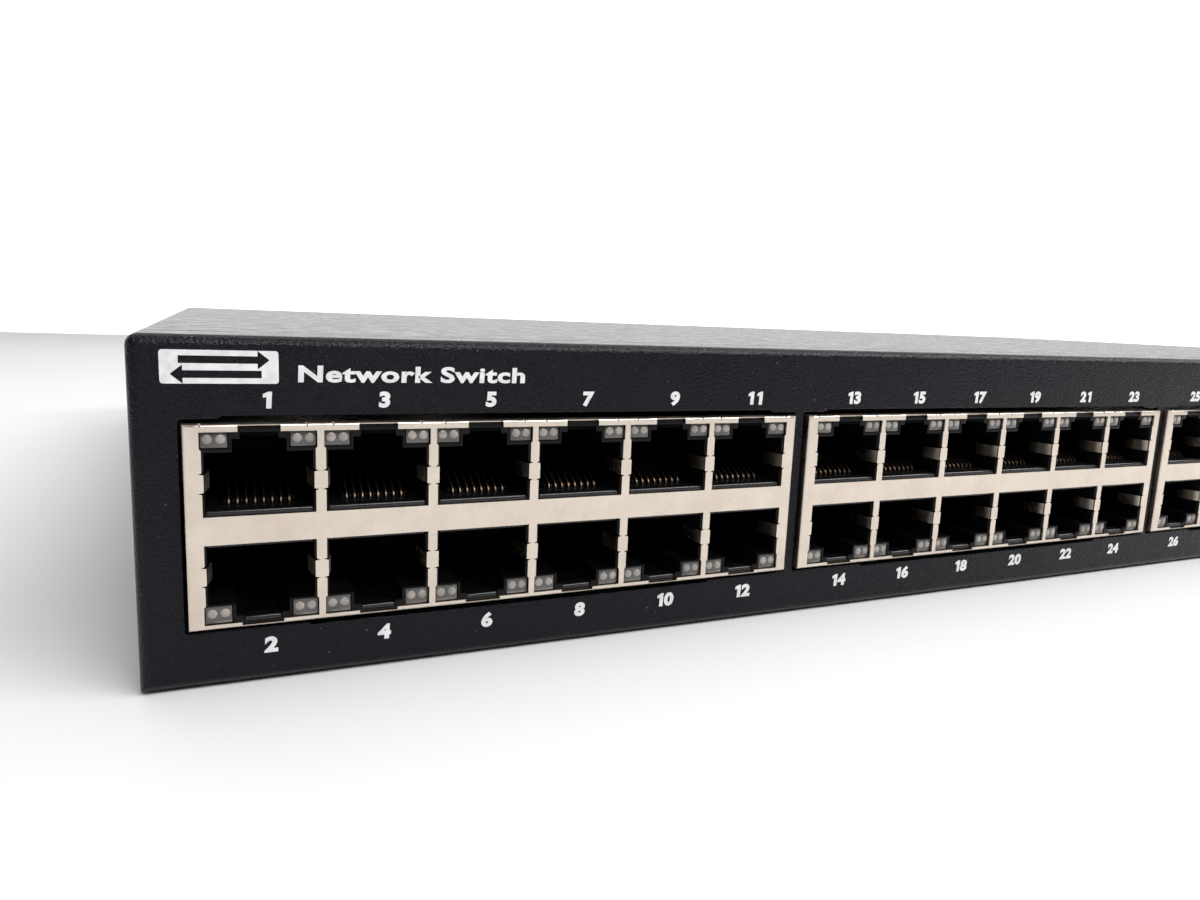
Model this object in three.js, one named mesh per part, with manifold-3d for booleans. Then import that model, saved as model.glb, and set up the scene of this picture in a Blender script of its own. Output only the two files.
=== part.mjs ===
// A 48-port, one-rack-unit network switch, built as a bench assembly of separate named pieces.
// Millimetres, +Z up. The front panel faces -Y, and the origin is on the resting plane,
// at the centre of the footprint.
import * as THREE from 'three';
import { mergeVertices } from 'three/addons/utils/BufferGeometryUtils.js';
import Module from 'manifold-3d';

const wasm = await Module();
wasm.setup();

// ---------------------------------------------------------------- driving dimensions
const WIDTH = 440;            // case width, between the rack ears it takes
const HEIGHT = 43.2;          // one rack unit, less the working gap
const DEPTH = 257;
const SHEET = 1;              // steel sheet of the case
const BEND = 1.5;             // outside radius of the case's bends
const GAP = 0.3;              // working gap between neighbouring pieces
const RETURN = 12;            // depth of the flanges behind the front and rear faces

const PORT_PITCH = 13.97;     // 0.55 inch, the pitch of ganged modular jacks
const PORTS_ACROSS = 6;
const JACK_GROUPS = 4;
const GROUP_PITCH = 89.1;
const FIRST_PORT = 13.85;         // from the case's left side to the first port's middle
const SHIELD_MARGIN = 2;          // shield face outside the end ports' windows
const SHIELD_HALF_HEIGHT = 12.35;
const SHIELD_CROWN = 0.55;        // extra height of the shield over the upper row
const JACK_MID_Z = 19.85;
const JACK_PROUD = 0.9;           // jack face in front of the front panel's face
const FOIL = 0.3;                 // shield sheet

// One port's section. x is measured from the port's middle line, and w from the jack's
// middle height towards the latch side.
const PORT = {
  window: 6.38,        // half width of the window in the shield
  windowLow: 1.75,
  windowHigh: 11.65,
  latchGap: 2.4,       // half width of the gap between the shield's two lips
  cavity: 6.1,         // half width of the plastic cavity
  cavityLow: 2.3,
  cavityHigh: 9.3,
  latch: 3,            // half width of the channel for the plug's latch
  latchTop: 11.7,      // roof of that channel
  lampNear: 3.45,      // the lamp window's two sides
  lampFar: 6.45,
  lampLow: 9.65,
  lampHigh: 11.65,
};
const PORT_DEPTH = 14.5;
const HOUSING_DEPTH = 18;
const JACK_DEPTH = 28;

const BOARD_TOP = 7;
const BOARD_THICK = 1.6;

// ---------------------------------------------------------------- derived places
const LEFT = -WIDTH / 2;
const FRONT = -DEPTH / 2;
const REAR = DEPTH / 2;
const JACK_FACE = FRONT - JACK_PROUD;
const portSpan = (count) => (count - 1) * PORT_PITCH;
const groupCentre = (g) => LEFT + FIRST_PORT + portSpan(PORTS_ACROSS) / 2 + g * GROUP_PITCH;
// A jack shield's left and right side, widened or narrowed by a margin.
const shieldSides = (centre, count, margin = 0) => [
  centre - portSpan(count) / 2 - PORT.window - SHIELD_MARGIN - margin,
  centre + portSpan(count) / 2 + PORT.window + SHIELD_MARGIN + margin,
];
const UPLINK_CENTRE = LEFT + 371.6;
const SFP_CENTRE = LEFT + 391.6;
const STATUS_X = LEFT + 407;      // first column of the indicator block
const FAN_CENTRES = [LEFT + 42, LEFT + 94];

// ---------------------------------------------------------------- finishes
const finish = (colour, roughness, metalness = 0) =>
  new THREE.MeshStandardMaterial({ color: colour, roughness, metalness });
const FINISH = {
  paint: finish(0x242329, 0.55, 0.2),
  tin: finish(0xc9bdb0, 0.35, 0.9),
  blackPlastic: finish(0x111113, 0.45),
  lens: finish(0x9a938e, 0.3),
  gold: finish(0xc49a4a, 0.3, 1),
  board: finish(0x1d5b33, 0.5),
  aluminium: finish(0xa9abad, 0.4, 1),
  steel: finish(0x8f9194, 0.35, 1),
  greyPlastic: finish(0x55565a, 0.5),
  yellowTape: finish(0xc9a93a, 0.6),
};

// ---------------------------------------------------------------- solid helpers
// A closed three.js geometry as a manifold solid.
function solidFrom(geometry) {
  const bare = geometry.clone();
  bare.deleteAttribute('normal');
  bare.deleteAttribute('uv');
  const merged = mergeVertices(bare, 1e-4);
  return new wasm.Manifold(new wasm.Mesh({
    numProp: 3,
    vertProperties: merged.attributes.position.array,
    triVerts: new Uint32Array(merged.index.array),
  }));
}

// A manifold solid as a three.js geometry.
function geometryFrom(solid) {
  const mesh = solid.getMesh();
  const geometry = new THREE.BufferGeometry();
  geometry.setAttribute('position', new THREE.BufferAttribute(mesh.vertProperties, 3));
  geometry.setIndex(new THREE.BufferAttribute(mesh.triVerts, 1));
  geometry.computeVertexNormals();
  return geometry;
}

// A box from its low and high bound on each axis.
function slab([x0, x1], [y0, y1], [z0, z1]) {
  const geometry = new THREE.BoxGeometry(x1 - x0, y1 - y0, z1 - z0);
  geometry.translate((x0 + x1) / 2, (y0 + y1) / 2, (z0 + z1) / 2);
  return solidFrom(geometry);
}

// Local axes for a shape drawn in one plane and extruded along the third axis.
const ALONG = {
  x: new THREE.Matrix4().makeBasis(
    new THREE.Vector3(0, 1, 0), new THREE.Vector3(0, 0, 1), new THREE.Vector3(1, 0, 0)),
  y: new THREE.Matrix4().makeBasis(
    new THREE.Vector3(1, 0, 0), new THREE.Vector3(0, 0, 1), new THREE.Vector3(0, -1, 0)),
  z: new THREE.Matrix4(),
};

// Extrudes a THREE.Shape along x (drawn in YZ), y (drawn in XZ) or z (drawn in XY).
function extruded(shape, axis, [from, to], curveSegments = 5) {
  const geometry = new THREE.ExtrudeGeometry(shape, {
    depth: to - from, bevelEnabled: false, curveSegments });
  geometry.applyMatrix4(ALONG[axis]);
  if (axis === 'x') geometry.translate(from, 0, 0);
  if (axis === 'y') geometry.translate(0, to, 0);
  if (axis === 'z') geometry.translate(0, 0, from);
  return solidFrom(geometry);
}

// A round bar along an axis: centre gives the other two coordinates, in X, Y, Z order.
function bar(radius, axis, [a, b], [from, to], sides = 16, farRadius = radius) {
  const geometry = new THREE.CylinderGeometry(farRadius, radius, to - from, sides);
  const middle = (from + to) / 2;
  if (axis === 'x') geometry.rotateZ(-Math.PI / 2).translate(middle, a, b);
  if (axis === 'y') geometry.translate(a, middle, b);
  if (axis === 'z') geometry.rotateX(Math.PI / 2).translate(a, b, middle);
  return solidFrom(geometry);
}

// A rectangle drawn as a shape, with round corners where the radii say so:
// [low-left, low-right, high-right, high-left].
function roundRect([a0, a1], [b0, b1], [r0, r1, r2, r3]) {
  const shape = new THREE.Shape();
  shape.moveTo(a0 + r0, b0);
  shape.lineTo(a1 - r1, b0);
  if (r1) shape.absarc(a1 - r1, b0 + r1, r1, -Math.PI / 2, 0);
  shape.lineTo(a1, b1 - r2);
  if (r2) shape.absarc(a1 - r2, b1 - r2, r2, 0, Math.PI / 2);
  shape.lineTo(a0 + r3, b1);
  if (r3) shape.absarc(a0 + r3, b1 - r3, r3, Math.PI / 2, Math.PI);
  shape.lineTo(a0, b0 + r0);
  if (r0) shape.absarc(a0 + r0, b0 + r0, r0, Math.PI, 1.5 * Math.PI);
  return shape;
}

const joined = (solids) => wasm.Manifold.union(solids);
const range = (count) => Array.from({ length: count }, (_, i) => i);
const mirrorRange = ([low, high], middle) => [2 * middle - high, 2 * middle - low];

const object = new THREE.Group();
object.name = 'network_switch';

function add(name, solid, material) {
  const mesh = new THREE.Mesh(geometryFrom(solid), material);
  mesh.name = name;
  object.add(mesh);
}

// ---------------------------------------------------------------- case openings
// The stepped cut-out for a jack: a little lower in the middle at the top and the bottom,
// where the sheet clears the shield's lips.
const CUTOUT = { side: 0.35, top: 0.65, topCorner: 0.3, bottom: 0.9, bottomCorner: 0.5,
  topStep: 4.2, bottomStep: 14.3 };

function jackCutout(centre, count) {
  const sides = (inset) => shieldSides(centre, count, CUTOUT.side - inset);
  const low = JACK_MID_Z - SHIELD_HALF_HEIGHT;
  const high = JACK_MID_Z + SHIELD_HALF_HEIGHT + SHIELD_CROWN;
  const through = [FRONT - 1, FRONT + SHEET + 1];
  const bottomStep = count > 1 ? CUTOUT.bottomStep : CUTOUT.topStep;
  return joined([
    slab(sides(0), through, [low - CUTOUT.bottomCorner, high + CUTOUT.topCorner]),
    slab(sides(CUTOUT.topStep), through, [JACK_MID_Z, high + CUTOUT.top]),
    slab(sides(bottomStep), through, [low - CUTOUT.bottom, JACK_MID_Z]),
  ]);
}

const SFP = { width: 15, low: 8, high: 31.6, wall: 0.4, depth: 48 };
const STATUS = { rows: 5, pitchX: 5.2, pitchZ: 4.6, topZ: 32, hole: 1.1 };
const STACK_BUTTON = { x: LEFT + 425.5, z: 14.2, radius: 2.6, travel: 0.6 };
const RESET = { x: LEFT + 433, z: 14.2, radius: 0.9 };

// The lamps of the indicator block: five status lamps and a two-wide column of unit lamps.
const statusLamps = range(3).flatMap((column) => range(STATUS.rows)
  .filter((row) => column < 2 || row < 4)
  .map((row) => [STATUS_X + column * STATUS.pitchX, STATUS.topZ - row * STATUS.pitchZ]));

// ---------------------------------------------------------------- the case
// A shallow pan: a face with flanges all round, and round bends between them.
function pan(facing) {
  const outerY = facing < 0 ? [FRONT, FRONT + RETURN] : [REAR - RETURN, REAR];
  const bends = facing < 0 ? [BEND, 0, 0, BEND] : [0, BEND, BEND, 0];
  const bendsAcross = facing < 0 ? [BEND, BEND, 0, 0] : [0, 0, BEND, BEND];
  const inner = facing < 0 ? [FRONT + SHEET, FRONT + RETURN + 1] : [REAR - RETURN - 1, REAR - SHEET];
  return extruded(roundRect(outerY, [0, HEIGHT], bends), 'x', [LEFT, -LEFT])
    .intersect(extruded(roundRect([LEFT, -LEFT], outerY, bendsAcross), 'z', [0, HEIGHT]))
    .subtract(slab([LEFT + SHEET, -LEFT - SHEET], inner, [SHEET, HEIGHT - SHEET]));
}

// A joggled tongue behind the pan's top flange, which the cover slides over.
function coverTongue(facing) {
  const near = facing < 0 ? FRONT + RETURN : REAR - RETURN;
  const span = [LEFT + 20, -LEFT - 20];
  const under = HEIGHT - SHEET - GAP;
  const inward = (from, to) => (facing < 0 ? [near + from, near + to] : [near - to, near - from]);
  return slab(span, inward(-6, 6), [under - SHEET, under])
    .add(slab(span, inward(-6, -0.5), [under - SHEET, HEIGHT - SHEET + 0.2]));
}

function frontPanel() {
  const through = [FRONT - 1, FRONT + SHEET + 1];
  const cuts = [
    ...range(JACK_GROUPS).map((g) => jackCutout(groupCentre(g), PORTS_ACROSS)),
    jackCutout(UPLINK_CENTRE, 1),
    slab([SFP_CENTRE - SFP.width / 2 - GAP, SFP_CENTRE + SFP.width / 2 + GAP], through,
      [SFP.low - GAP, SFP.high + GAP]),
    ...statusLamps.map(([x, z]) => bar(STATUS.hole, 'y', [x, z], through, 8)),
    bar(STACK_BUTTON.radius + GAP, 'y', [STACK_BUTTON.x, STACK_BUTTON.z], through, 24),
    bar(RESET.radius, 'y', [RESET.x, RESET.z], through, 12),
  ];
  return pan(-1).add(coverTongue(-1)).subtract(joined(cuts));
}

// Bosses that the boards stand on: two rows under the main board and one under the supply.
const BOSS_RADIUS = 3;
const BOSSES = [
  ...[40, 150, 265, 400].flatMap((x) => [[LEFT + x, FRONT + 62], [LEFT + x, FRONT + 152]]),
  ...[320, 372, 426].map((x) => [LEFT + x, REAR - 40]),
];

const SIDE_SCREWS = [FRONT + 70, REAR - 44];
const SCREW = { head: 2.8, shank: 1.5, depth: 1, length: 4.5, z: 10.5 };
const VENT = { count: 14, first: 100, pitch: 8, half: 2 };
const EAR_HOLES = [[22, 12], [22, 31], [54, 12], [54, 31]];   // from the front, from the base
const INNER_SIDE = -LEFT - SHEET - GAP;      // outside of the tray's side flanges
const SIDE_FLANGE = 14;

const REAR_CUTS = {
  inlet: { x: LEFT + 402, z: 20.5, width: 27.6, height: 20.2 },
  redundant: { x: LEFT + 338, z: 20.5, width: 32, height: 15 },
  console: { x: LEFT + 268, z: 20.5, width: 17.6, height: 9.2 },
};

// Level slots that fill a circle in front of each fan.
function fanGrille(centre) {
  const radius = 17.5;
  const pitch = 3.9;
  return joined(range(9).map((row) => {
    const rise = (row - 4) * pitch;
    const half = Math.sqrt(radius ** 2 - rise ** 2);
    const z = HEIGHT / 2 + rise;
    return slab([centre - half, centre + half], [REAR - SHEET - 1, REAR + 1], [z - 1.2, z + 1.2]);
  }));
}

function chassisTray() {
  const lowFront = FRONT + RETURN + GAP;
  const overlap = FRONT + 3;
  const floor = slab([-INNER_SIDE, INNER_SIDE], [lowFront, REAR - RETURN + 1], [0, SHEET]);
  const lap = slab([LEFT + 20, -LEFT - 20], [overlap, lowFront + 4], [SHEET + GAP, 2 * SHEET + GAP])
    .add(slab([LEFT + 20, -LEFT - 20], [lowFront + 0.5, lowFront + 4], [SHEET / 2, SHEET + GAP + 0.5]));
  const flanges = [-1, 1].map((side) => {
    const x = side < 0 ? [-INNER_SIDE, -INNER_SIDE + SHEET] : [INNER_SIDE - SHEET, INNER_SIDE];
    return slab(x, [lowFront, REAR - RETURN + 1], [0, SIDE_FLANGE]);
  });
  const screwHoles = SIDE_SCREWS.map((y) => bar(SCREW.shank + 0.15, 'x', [y, SCREW.z], [LEFT, -LEFT], 12));
  const rearCuts = Object.values(REAR_CUTS).map((cut) => slab(
    [cut.x - cut.width / 2, cut.x + cut.width / 2], [REAR - SHEET - 1, REAR + 1],
    [cut.z - cut.height / 2, cut.z + cut.height / 2]));
  const fanReliefs = FAN_CENTRES.map((x) => slab(
    [x - FAN.half - GAP, x + FAN.half + GAP], [REAR - RETURN - 10, REAR - SHEET - 0.1],
    [SHEET + 0.2, HEIGHT - SHEET - 0.2]));
  const bosses = BOSSES.map(([x, y]) => bar(BOSS_RADIUS, 'z', [x, y],
    [SHEET / 2, BOARD_TOP - BOARD_THICK - 0.1], 8));
  return joined([pan(1), coverTongue(1), floor, lap, ...flanges, ...bosses])
    .subtract(joined([...screwHoles, ...rearCuts, ...fanReliefs, ...FAN_CENTRES.map(fanGrille)]));
}

function topCover() {
  const y = [FRONT + RETURN + GAP, REAR - RETURN - GAP];
  const outer = extruded(roundRect([LEFT, -LEFT], [0, HEIGHT], [0, 0, BEND, BEND]), 'y', y);
  const inner = slab([LEFT + SHEET, -LEFT - SHEET], [y[0] - 1, y[1] + 1], [-1, HEIGHT - SHEET]);
  const ventSlots = range(VENT.count).map((i) => {
    const middle = FRONT + VENT.first + i * VENT.pitch;
    return slab([LEFT - 1, -LEFT + 1], [middle - VENT.half, middle + VENT.half], [20, 36]);
  });
  const earHoles = EAR_HOLES.map(([back, z]) => bar(1.6, 'x', [FRONT + back, z], [LEFT - 1, -LEFT + 1], 12));
  const sinks = SIDE_SCREWS.flatMap((y0) => [
    bar(SCREW.head + 0.2, 'x', [y0, SCREW.z], [LEFT - 0.01, LEFT + SCREW.depth], 16, SCREW.shank + 0.2),
    bar(SCREW.shank + 0.2, 'x', [y0, SCREW.z], [-LEFT - SCREW.depth, -LEFT + 0.01], 16, SCREW.head + 0.2),
  ]);
  return outer.subtract(inner).subtract(joined([...ventSlots, ...earHoles, ...sinks]));
}

// A countersunk screw let into the cover's side. side is -1 for the left and 1 for the right.
function coverScrew(side, y) {
  const face = -LEFT - 0.1;
  const head = side < 0
    ? bar(SCREW.head, 'x', [y, SCREW.z], [-face, -face + SCREW.depth], 16, SCREW.shank)
    : bar(SCREW.shank, 'x', [y, SCREW.z], [face - SCREW.depth, face], 16, SCREW.head);
  const shank = side < 0 ? [-face + 1, -face + SCREW.length] : [face - SCREW.length, face - 1];
  return head.add(bar(SCREW.shank - 0.05, 'x', [y, SCREW.z], shank, 12));
}

// ---------------------------------------------------------------- ganged modular jacks
// Both rows of ports share one section, mirrored about the jack's middle height.
function inRow(row, [low, high]) {
  const z = [JACK_MID_Z + low, JACK_MID_Z + high];
  return row > 0 ? z : mirrorRange(z, JACK_MID_Z);
}

const portCentres = (centre, count) => range(count)
  .map((i) => centre - portSpan(count) / 2 + i * PORT_PITCH);
const eachPort = (centre, count, make) => [1, -1].flatMap((row) =>
  portCentres(centre, count).flatMap((x) => make(x, row)));

const jackBox = (centre, count, inset, depth) => slab(shieldSides(centre, count, -inset), depth,
  [JACK_MID_Z - SHIELD_HALF_HEIGHT + inset, JACK_MID_Z + SHIELD_HALF_HEIGHT - inset]);

const shieldBox = (centre, count, inset, depth) => slab(shieldSides(centre, count, -inset), depth,
  [JACK_MID_Z - SHIELD_HALF_HEIGHT + inset, JACK_MID_Z + SHIELD_HALF_HEIGHT + SHIELD_CROWN - inset]);

function jackShield(centre, count) {
  const shell = shieldBox(centre, count, 0, [JACK_FACE, JACK_FACE + JACK_DEPTH])
    .subtract(shieldBox(centre, count, FOIL, [JACK_FACE + FOIL, JACK_FACE + JACK_DEPTH - FOIL]));
  const underside = slab(shieldSides(centre, count, 1), [JACK_FACE + 5, JACK_FACE + JACK_DEPTH + 1],
    [0, JACK_MID_Z - SHIELD_HALF_HEIGHT + FOIL + 0.1]);
  const front = [JACK_FACE - 1, JACK_FACE + FOIL + 0.5];
  const windows = eachPort(centre, count, (x, row) => [
    slab([x - PORT.window, x + PORT.window], front, inRow(row, [PORT.windowLow, PORT.windowHigh])),
    slab([x - PORT.latchGap, x + PORT.latchGap], front,
      inRow(row, [PORT.windowHigh - 1, SHIELD_HALF_HEIGHT - FOIL + (row > 0 ? SHIELD_CROWN : 0)])),
  ]);
  return shell.subtract(underside).subtract(joined(windows));
}

const HOUSING_INSET = FOIL + 0.1;
const LAMP_SIDES = [-1, 1];
const lampRange = (x, side, spare = 0) => {
  const near = PORT.lampNear + spare;
  const far = PORT.lampFar - spare;
  return side > 0 ? [x + near, x + far] : [x - far, x - near];
};

function jackHousing(centre, count) {
  const front = JACK_FACE + FOIL + 0.05;
  const block = jackBox(centre, count, HOUSING_INSET, [front, front + HOUSING_DEPTH]);
  const depth = [front - 1, front + PORT_DEPTH];
  const through = [front - 1, front + HOUSING_DEPTH + 1];
  const cuts = eachPort(centre, count, (x, row) => [
    slab([x - PORT.cavity, x + PORT.cavity], depth, inRow(row, [PORT.cavityLow, PORT.cavityHigh])),
    slab([x - PORT.latch, x + PORT.latch], depth, inRow(row, [PORT.cavityHigh - 1, PORT.latchTop])),
    slab([x - 4.5, x + 4.5], through, inRow(row, [PORT.cavityLow, PORT.cavityLow + 1])),
    ...LAMP_SIDES.map((side) => slab(lampRange(x, side), through, inRow(row, [PORT.lampLow, PORT.lampHigh]))),
  ]);
  return block.subtract(joined(cuts));
}

// The contact carrier: a block behind the housing, with one tongue of spring contacts per port.
function jackContacts(centre, count) {
  const back = JACK_FACE + FOIL + 0.05 + HOUSING_DEPTH + 0.2;
  const block = slab(shieldSides(centre, count, -1), [back, back + 7], [JACK_MID_Z - 9, JACK_MID_Z + 9]);
  const tongues = eachPort(centre, count, (x, row) => [
    slab([x - 4.2, x + 4.2], [JACK_FACE + 5, back + 1],
      inRow(row, [PORT.cavityLow + 0.15, PORT.cavityLow + 0.75])),
  ]);
  return joined([block, ...tongues]);
}

// A row of lamp lenses on one moulding: a lens each side of every latch, joined behind the housing.
function jackLightPipe(centre, count, row) {
  const back = JACK_FACE + FOIL + 0.05 + HOUSING_DEPTH;
  const half = portSpan(count) / 2 + PORT.lampFar - 0.1;
  const rail = slab([centre - half, centre + half], [back + 0.2, back + 2.2],
    inRow(row, [PORT.lampLow + 0.1, PORT.lampHigh - 0.1]));
  const arms = portCentres(centre, count).flatMap((x) => LAMP_SIDES.map((side) =>
    slab(lampRange(x, side, 0.1), [JACK_FACE + FOIL + 0.1, back + 1],
      inRow(row, [PORT.lampLow + 0.1, PORT.lampHigh - 0.1]))));
  return joined([rail, ...arms]);
}

function addJack(prefix, centre, count) {
  add(`${prefix}_shield`, jackShield(centre, count), FINISH.tin);
  add(`${prefix}_housing`, jackHousing(centre, count), FINISH.blackPlastic);
  add(`${prefix}_contacts`, jackContacts(centre, count), FINISH.gold);
  add(`${prefix}_upper_light_pipe`, jackLightPipe(centre, count, 1), FINISH.lens);
  add(`${prefix}_lower_light_pipe`, jackLightPipe(centre, count, -1), FINISH.lens);
}

// ---------------------------------------------------------------- fibre module cages
const SFP_MID_Z = (SFP.low + SFP.high) / 2;
const SFP_SLOT = { halfWidth: 7.1, low: 1, high: 11.2 };
const sfpRow = (row, [low, high]) => (row > 0
  ? [SFP_MID_Z + low, SFP_MID_Z + high] : [SFP_MID_Z - high, SFP_MID_Z - low]);

function sfpCage() {
  const x = [SFP_CENTRE - SFP.width / 2, SFP_CENTRE + SFP.width / 2];
  const slots = [1, -1].map((row) => slab(
    [SFP_CENTRE - SFP_SLOT.halfWidth, SFP_CENTRE + SFP_SLOT.halfWidth],
    [FRONT - 1, FRONT + SFP.depth + 1], sfpRow(row, [SFP_SLOT.low, SFP_SLOT.high])));
  return slab(x, [JACK_FACE, FRONT + SFP.depth], [SFP.low, SFP.high]).subtract(joined(slots));
}

// The stacked edge connector behind the cage's slots: a card slot faces into each of them.
function sfpConnector() {
  const nose = (row) => slab([SFP_CENTRE - 6.2, SFP_CENTRE + 6.2], [FRONT + 38, FRONT + SFP.depth + 1],
    sfpRow(row, [SFP_SLOT.low + 0.2, SFP_SLOT.low + 6.6]))
    .subtract(slab([SFP_CENTRE - 5, SFP_CENTRE + 5], [FRONT + 37, FRONT + 43],
      sfpRow(row, [SFP_SLOT.low + 2.6, SFP_SLOT.low + 4.1])));
  const back = slab([SFP_CENTRE - 6.2, SFP_CENTRE + 6.2], [FRONT + SFP.depth + 0.3, FRONT + SFP.depth + 5],
    [SFP.low + 1, SFP.high - 3]);
  return joined([back, nose(1), nose(-1)]);
}

// ---------------------------------------------------------------- indicators and buttons
function statusLightPipe() {
  const plate = slab([STATUS_X - 2.4, STATUS_X + 2 * STATUS.pitchX + 2.4], [FRONT + 6, FRONT + 8],
    [STATUS.topZ - 4 * STATUS.pitchZ - 2.4, STATUS.topZ + 2.4]);
  const pipes = statusLamps.map(([x, z]) => bar(STATUS.hole - 0.15, 'y', [x, z], [FRONT + 0.1, FRONT + 7], 8));
  return joined([plate, ...pipes]);
}

// The push cap: a round head through the panel, on a square skirt that the switch's stem meets.
function stackButton() {
  const { x, z, radius } = STACK_BUTTON;
  return bar(radius, 'y', [x, z], [FRONT - 0.9, FRONT + 4], 24)
    .add(slab([x - 3.6, x + 3.6], [FRONT + 1.6, FRONT + 4], [z - 3.6, z + 3.6]));
}

function tactSwitch(x, z, front, size) {
  return slab([x - size, x + size], [front, front + 4.3], [z - size, z + size])
    .add(slab([x - size, x + size], [front + 2.5, front + 4.3], [BOARD_TOP + 0.1, z]));
}

const BUTTON_REST_GAP = STACK_BUTTON.travel + GAP;
const RESET_TRAVEL = 0.3;
const resetButton = () => bar(RESET.radius + 0.6, 'y', [RESET.x, RESET.z], [FRONT + 3, FRONT + 5], 16);

// ---------------------------------------------------------------- boards and what they carry
function mainBoard() {
  return slab([LEFT + 4, -LEFT - 4], [FRONT + 4, FRONT + 166], [BOARD_TOP - BOARD_THICK, BOARD_TOP]);
}

function finnedHeatsink(x, y, size, height, fins) {
  const z = BOARD_TOP + 3.2;
  const base = slab([x - size / 2, x + size / 2], [y - size / 2, y + size / 2], [z, z + 3]);
  const pitch = (size - 1.4) / (fins - 1);
  const blades = range(fins).map((i) => {
    const low = x - size / 2 + i * pitch;
    return slab([low, low + 1.4], [y - size / 2, y + size / 2], [z + 2, z + height]);
  });
  return joined([base, ...blades]);
}

const chip = (x, y, size) => slab(
  [x - size / 2, x + size / 2], [y - size / 2, y + size / 2], [BOARD_TOP + 0.2, BOARD_TOP + 2.9]);

const SUPPLY = { x: [LEFT + 310, -LEFT - 6], y: [REAR - 84, REAR - 30], z: BOARD_TOP };
const supplyBoard = () => slab(SUPPLY.x, SUPPLY.y, [SUPPLY.z - BOARD_THICK, SUPPLY.z]);

function supplyTransformer() {
  const x = LEFT + 350;
  const y = REAR - 58;
  const core = slab([x - 17, x + 17], [y - 14, y + 14], [SUPPLY.z + 0.2, SUPPLY.z + 24])
    .subtract(slab([x - 10, x + 10], [y - 20, y + 20], [SUPPLY.z + 6, SUPPLY.z + 18]));
  return core.add(slab([x - 9.5, x + 9.5], [y - 18, y + 18], [SUPPLY.z + 5.8, SUPPLY.z + 18.2]));
}

const supplyCapacitor = () => bar(11, 'z', [LEFT + 392, REAR - 58], [SUPPLY.z + 0.2, SUPPLY.z + 31], 28);

function supplyHeatsink() {
  const x = LEFT + 321;
  return slab([x - 1.5, x + 1.5], [REAR - 80, REAR - 36], [SUPPLY.z + 0.2, SUPPLY.z + 30])
    .add(slab([x - 1.5, x + 9], [REAR - 80, REAR - 36], [SUPPLY.z + 27, SUPPLY.z + 30]));
}

// The lead from the supply to the main board: a flat bundle clipped along the boards.
function powerHarness() {
  const z = SUPPLY.z + 1.4;
  const path = new THREE.CatmullRomCurve3([
    new THREE.Vector3(LEFT + 306, REAR - 62, z + 3),
    new THREE.Vector3(LEFT + 298, REAR - 66, z + 7),
    new THREE.Vector3(LEFT + 290, REAR - 84, z + 7),
    new THREE.Vector3(LEFT + 288, REAR - 104, z + 3),
  ]);
  const section = new THREE.Shape();
  section.absarc(0, 0, 2.6, 0, 2 * Math.PI);
  const lead = solidFrom(new THREE.ExtrudeGeometry(section, {
    steps: 12, bevelEnabled: false, curveSegments: 4, extrudePath: path }));
  const plug = slab([LEFT + 282, LEFT + 294], [REAR - 110, REAR - 102], [BOARD_TOP + 0.3, BOARD_TOP + 9]);
  const supplyPlug = slab([LEFT + 303, LEFT + 309], [REAR - 68, REAR - 56], [SUPPLY.z + 0.3, SUPPLY.z + 9]);
  return joined([lead, plug, supplyPlug]);
}

// ---------------------------------------------------------------- rear connectors
// Appliance inlet: a flange and a well with two cut corners, which the three blades stand in.
const INLET = { flangeX: 15.4, flangeZ: 12, wellX: 12, wellZ: 8.2, depth: 18 };

function inletBody() {
  const { x, z } = REAR_CUTS.inlet;
  const corner = 4;
  const well = new THREE.Shape();
  well.moveTo(x - INLET.wellX, z + INLET.wellZ);
  well.lineTo(x - INLET.wellX, z - INLET.wellZ + corner);
  well.lineTo(x - INLET.wellX + corner, z - INLET.wellZ);
  well.lineTo(x + INLET.wellX - corner, z - INLET.wellZ);
  well.lineTo(x + INLET.wellX, z - INLET.wellZ + corner);
  well.lineTo(x + INLET.wellX, z + INLET.wellZ);
  const flange = slab([x - INLET.flangeX, x + INLET.flangeX], [REAR + 0.1, REAR + 2],
    [z - INLET.flangeZ, z + INLET.flangeZ]);
  const box = slab([x - 13.5, x + 13.5], [REAR - INLET.depth - 2, REAR + 1], [z - 9.8, z + 9.8]);
  const bladeSlots = INLET_BLADES.map(([dx, dz]) => slab(
    [x + dx - 1.3, x + dx + 1.3], [REAR - INLET.depth - 3, REAR], [z + dz - 2.3, z + dz + 2.3]));
  return flange.add(box)
    .subtract(extruded(well, 'y', [REAR - INLET.depth + 2, REAR + 3]))
    .subtract(joined(bladeSlots));
}

const INLET_BLADES = [[-7, -1.5], [7, -1.5], [0, 2.5]];   // line, neutral, earth
const INLET_BLADE_NAMES = ['ac_inlet_line_blade', 'ac_inlet_neutral_blade', 'ac_inlet_earth_blade'];

function inletBlade([dx, dz]) {
  const { x, z } = REAR_CUTS.inlet;
  return slab([x + dx - 1, x + dx + 1], [REAR - INLET.depth - 8, REAR - 1.5], [z + dz - 2, z + dz + 2]);
}

// The redundant-supply receptacle: a two-row shroud with seven chambers a row.
function redundantSupplyConnector() {
  const { x, z } = REAR_CUTS.redundant;
  const shroud = slab([x - 15.7, x + 15.7], [REAR - 14, REAR + 1], [z - 7.2, z + 7.2])
    .subtract(slab([x - 14.6, x + 14.6], [REAR - 9, REAR + 2], [z - 5.2, z + 5.2]));
  const posts = range(7).flatMap((i) => [-1, 1].map((row) => {
    const px = x + (i - 3) * 4.1;
    const pz = z + row * 2.4;
    return slab([px - 0.5, px + 0.5], [REAR - 10, REAR - 5], [pz - 0.5, pz + 0.5]);
  }));
  return joined([shroud, ...posts]);
}

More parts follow.
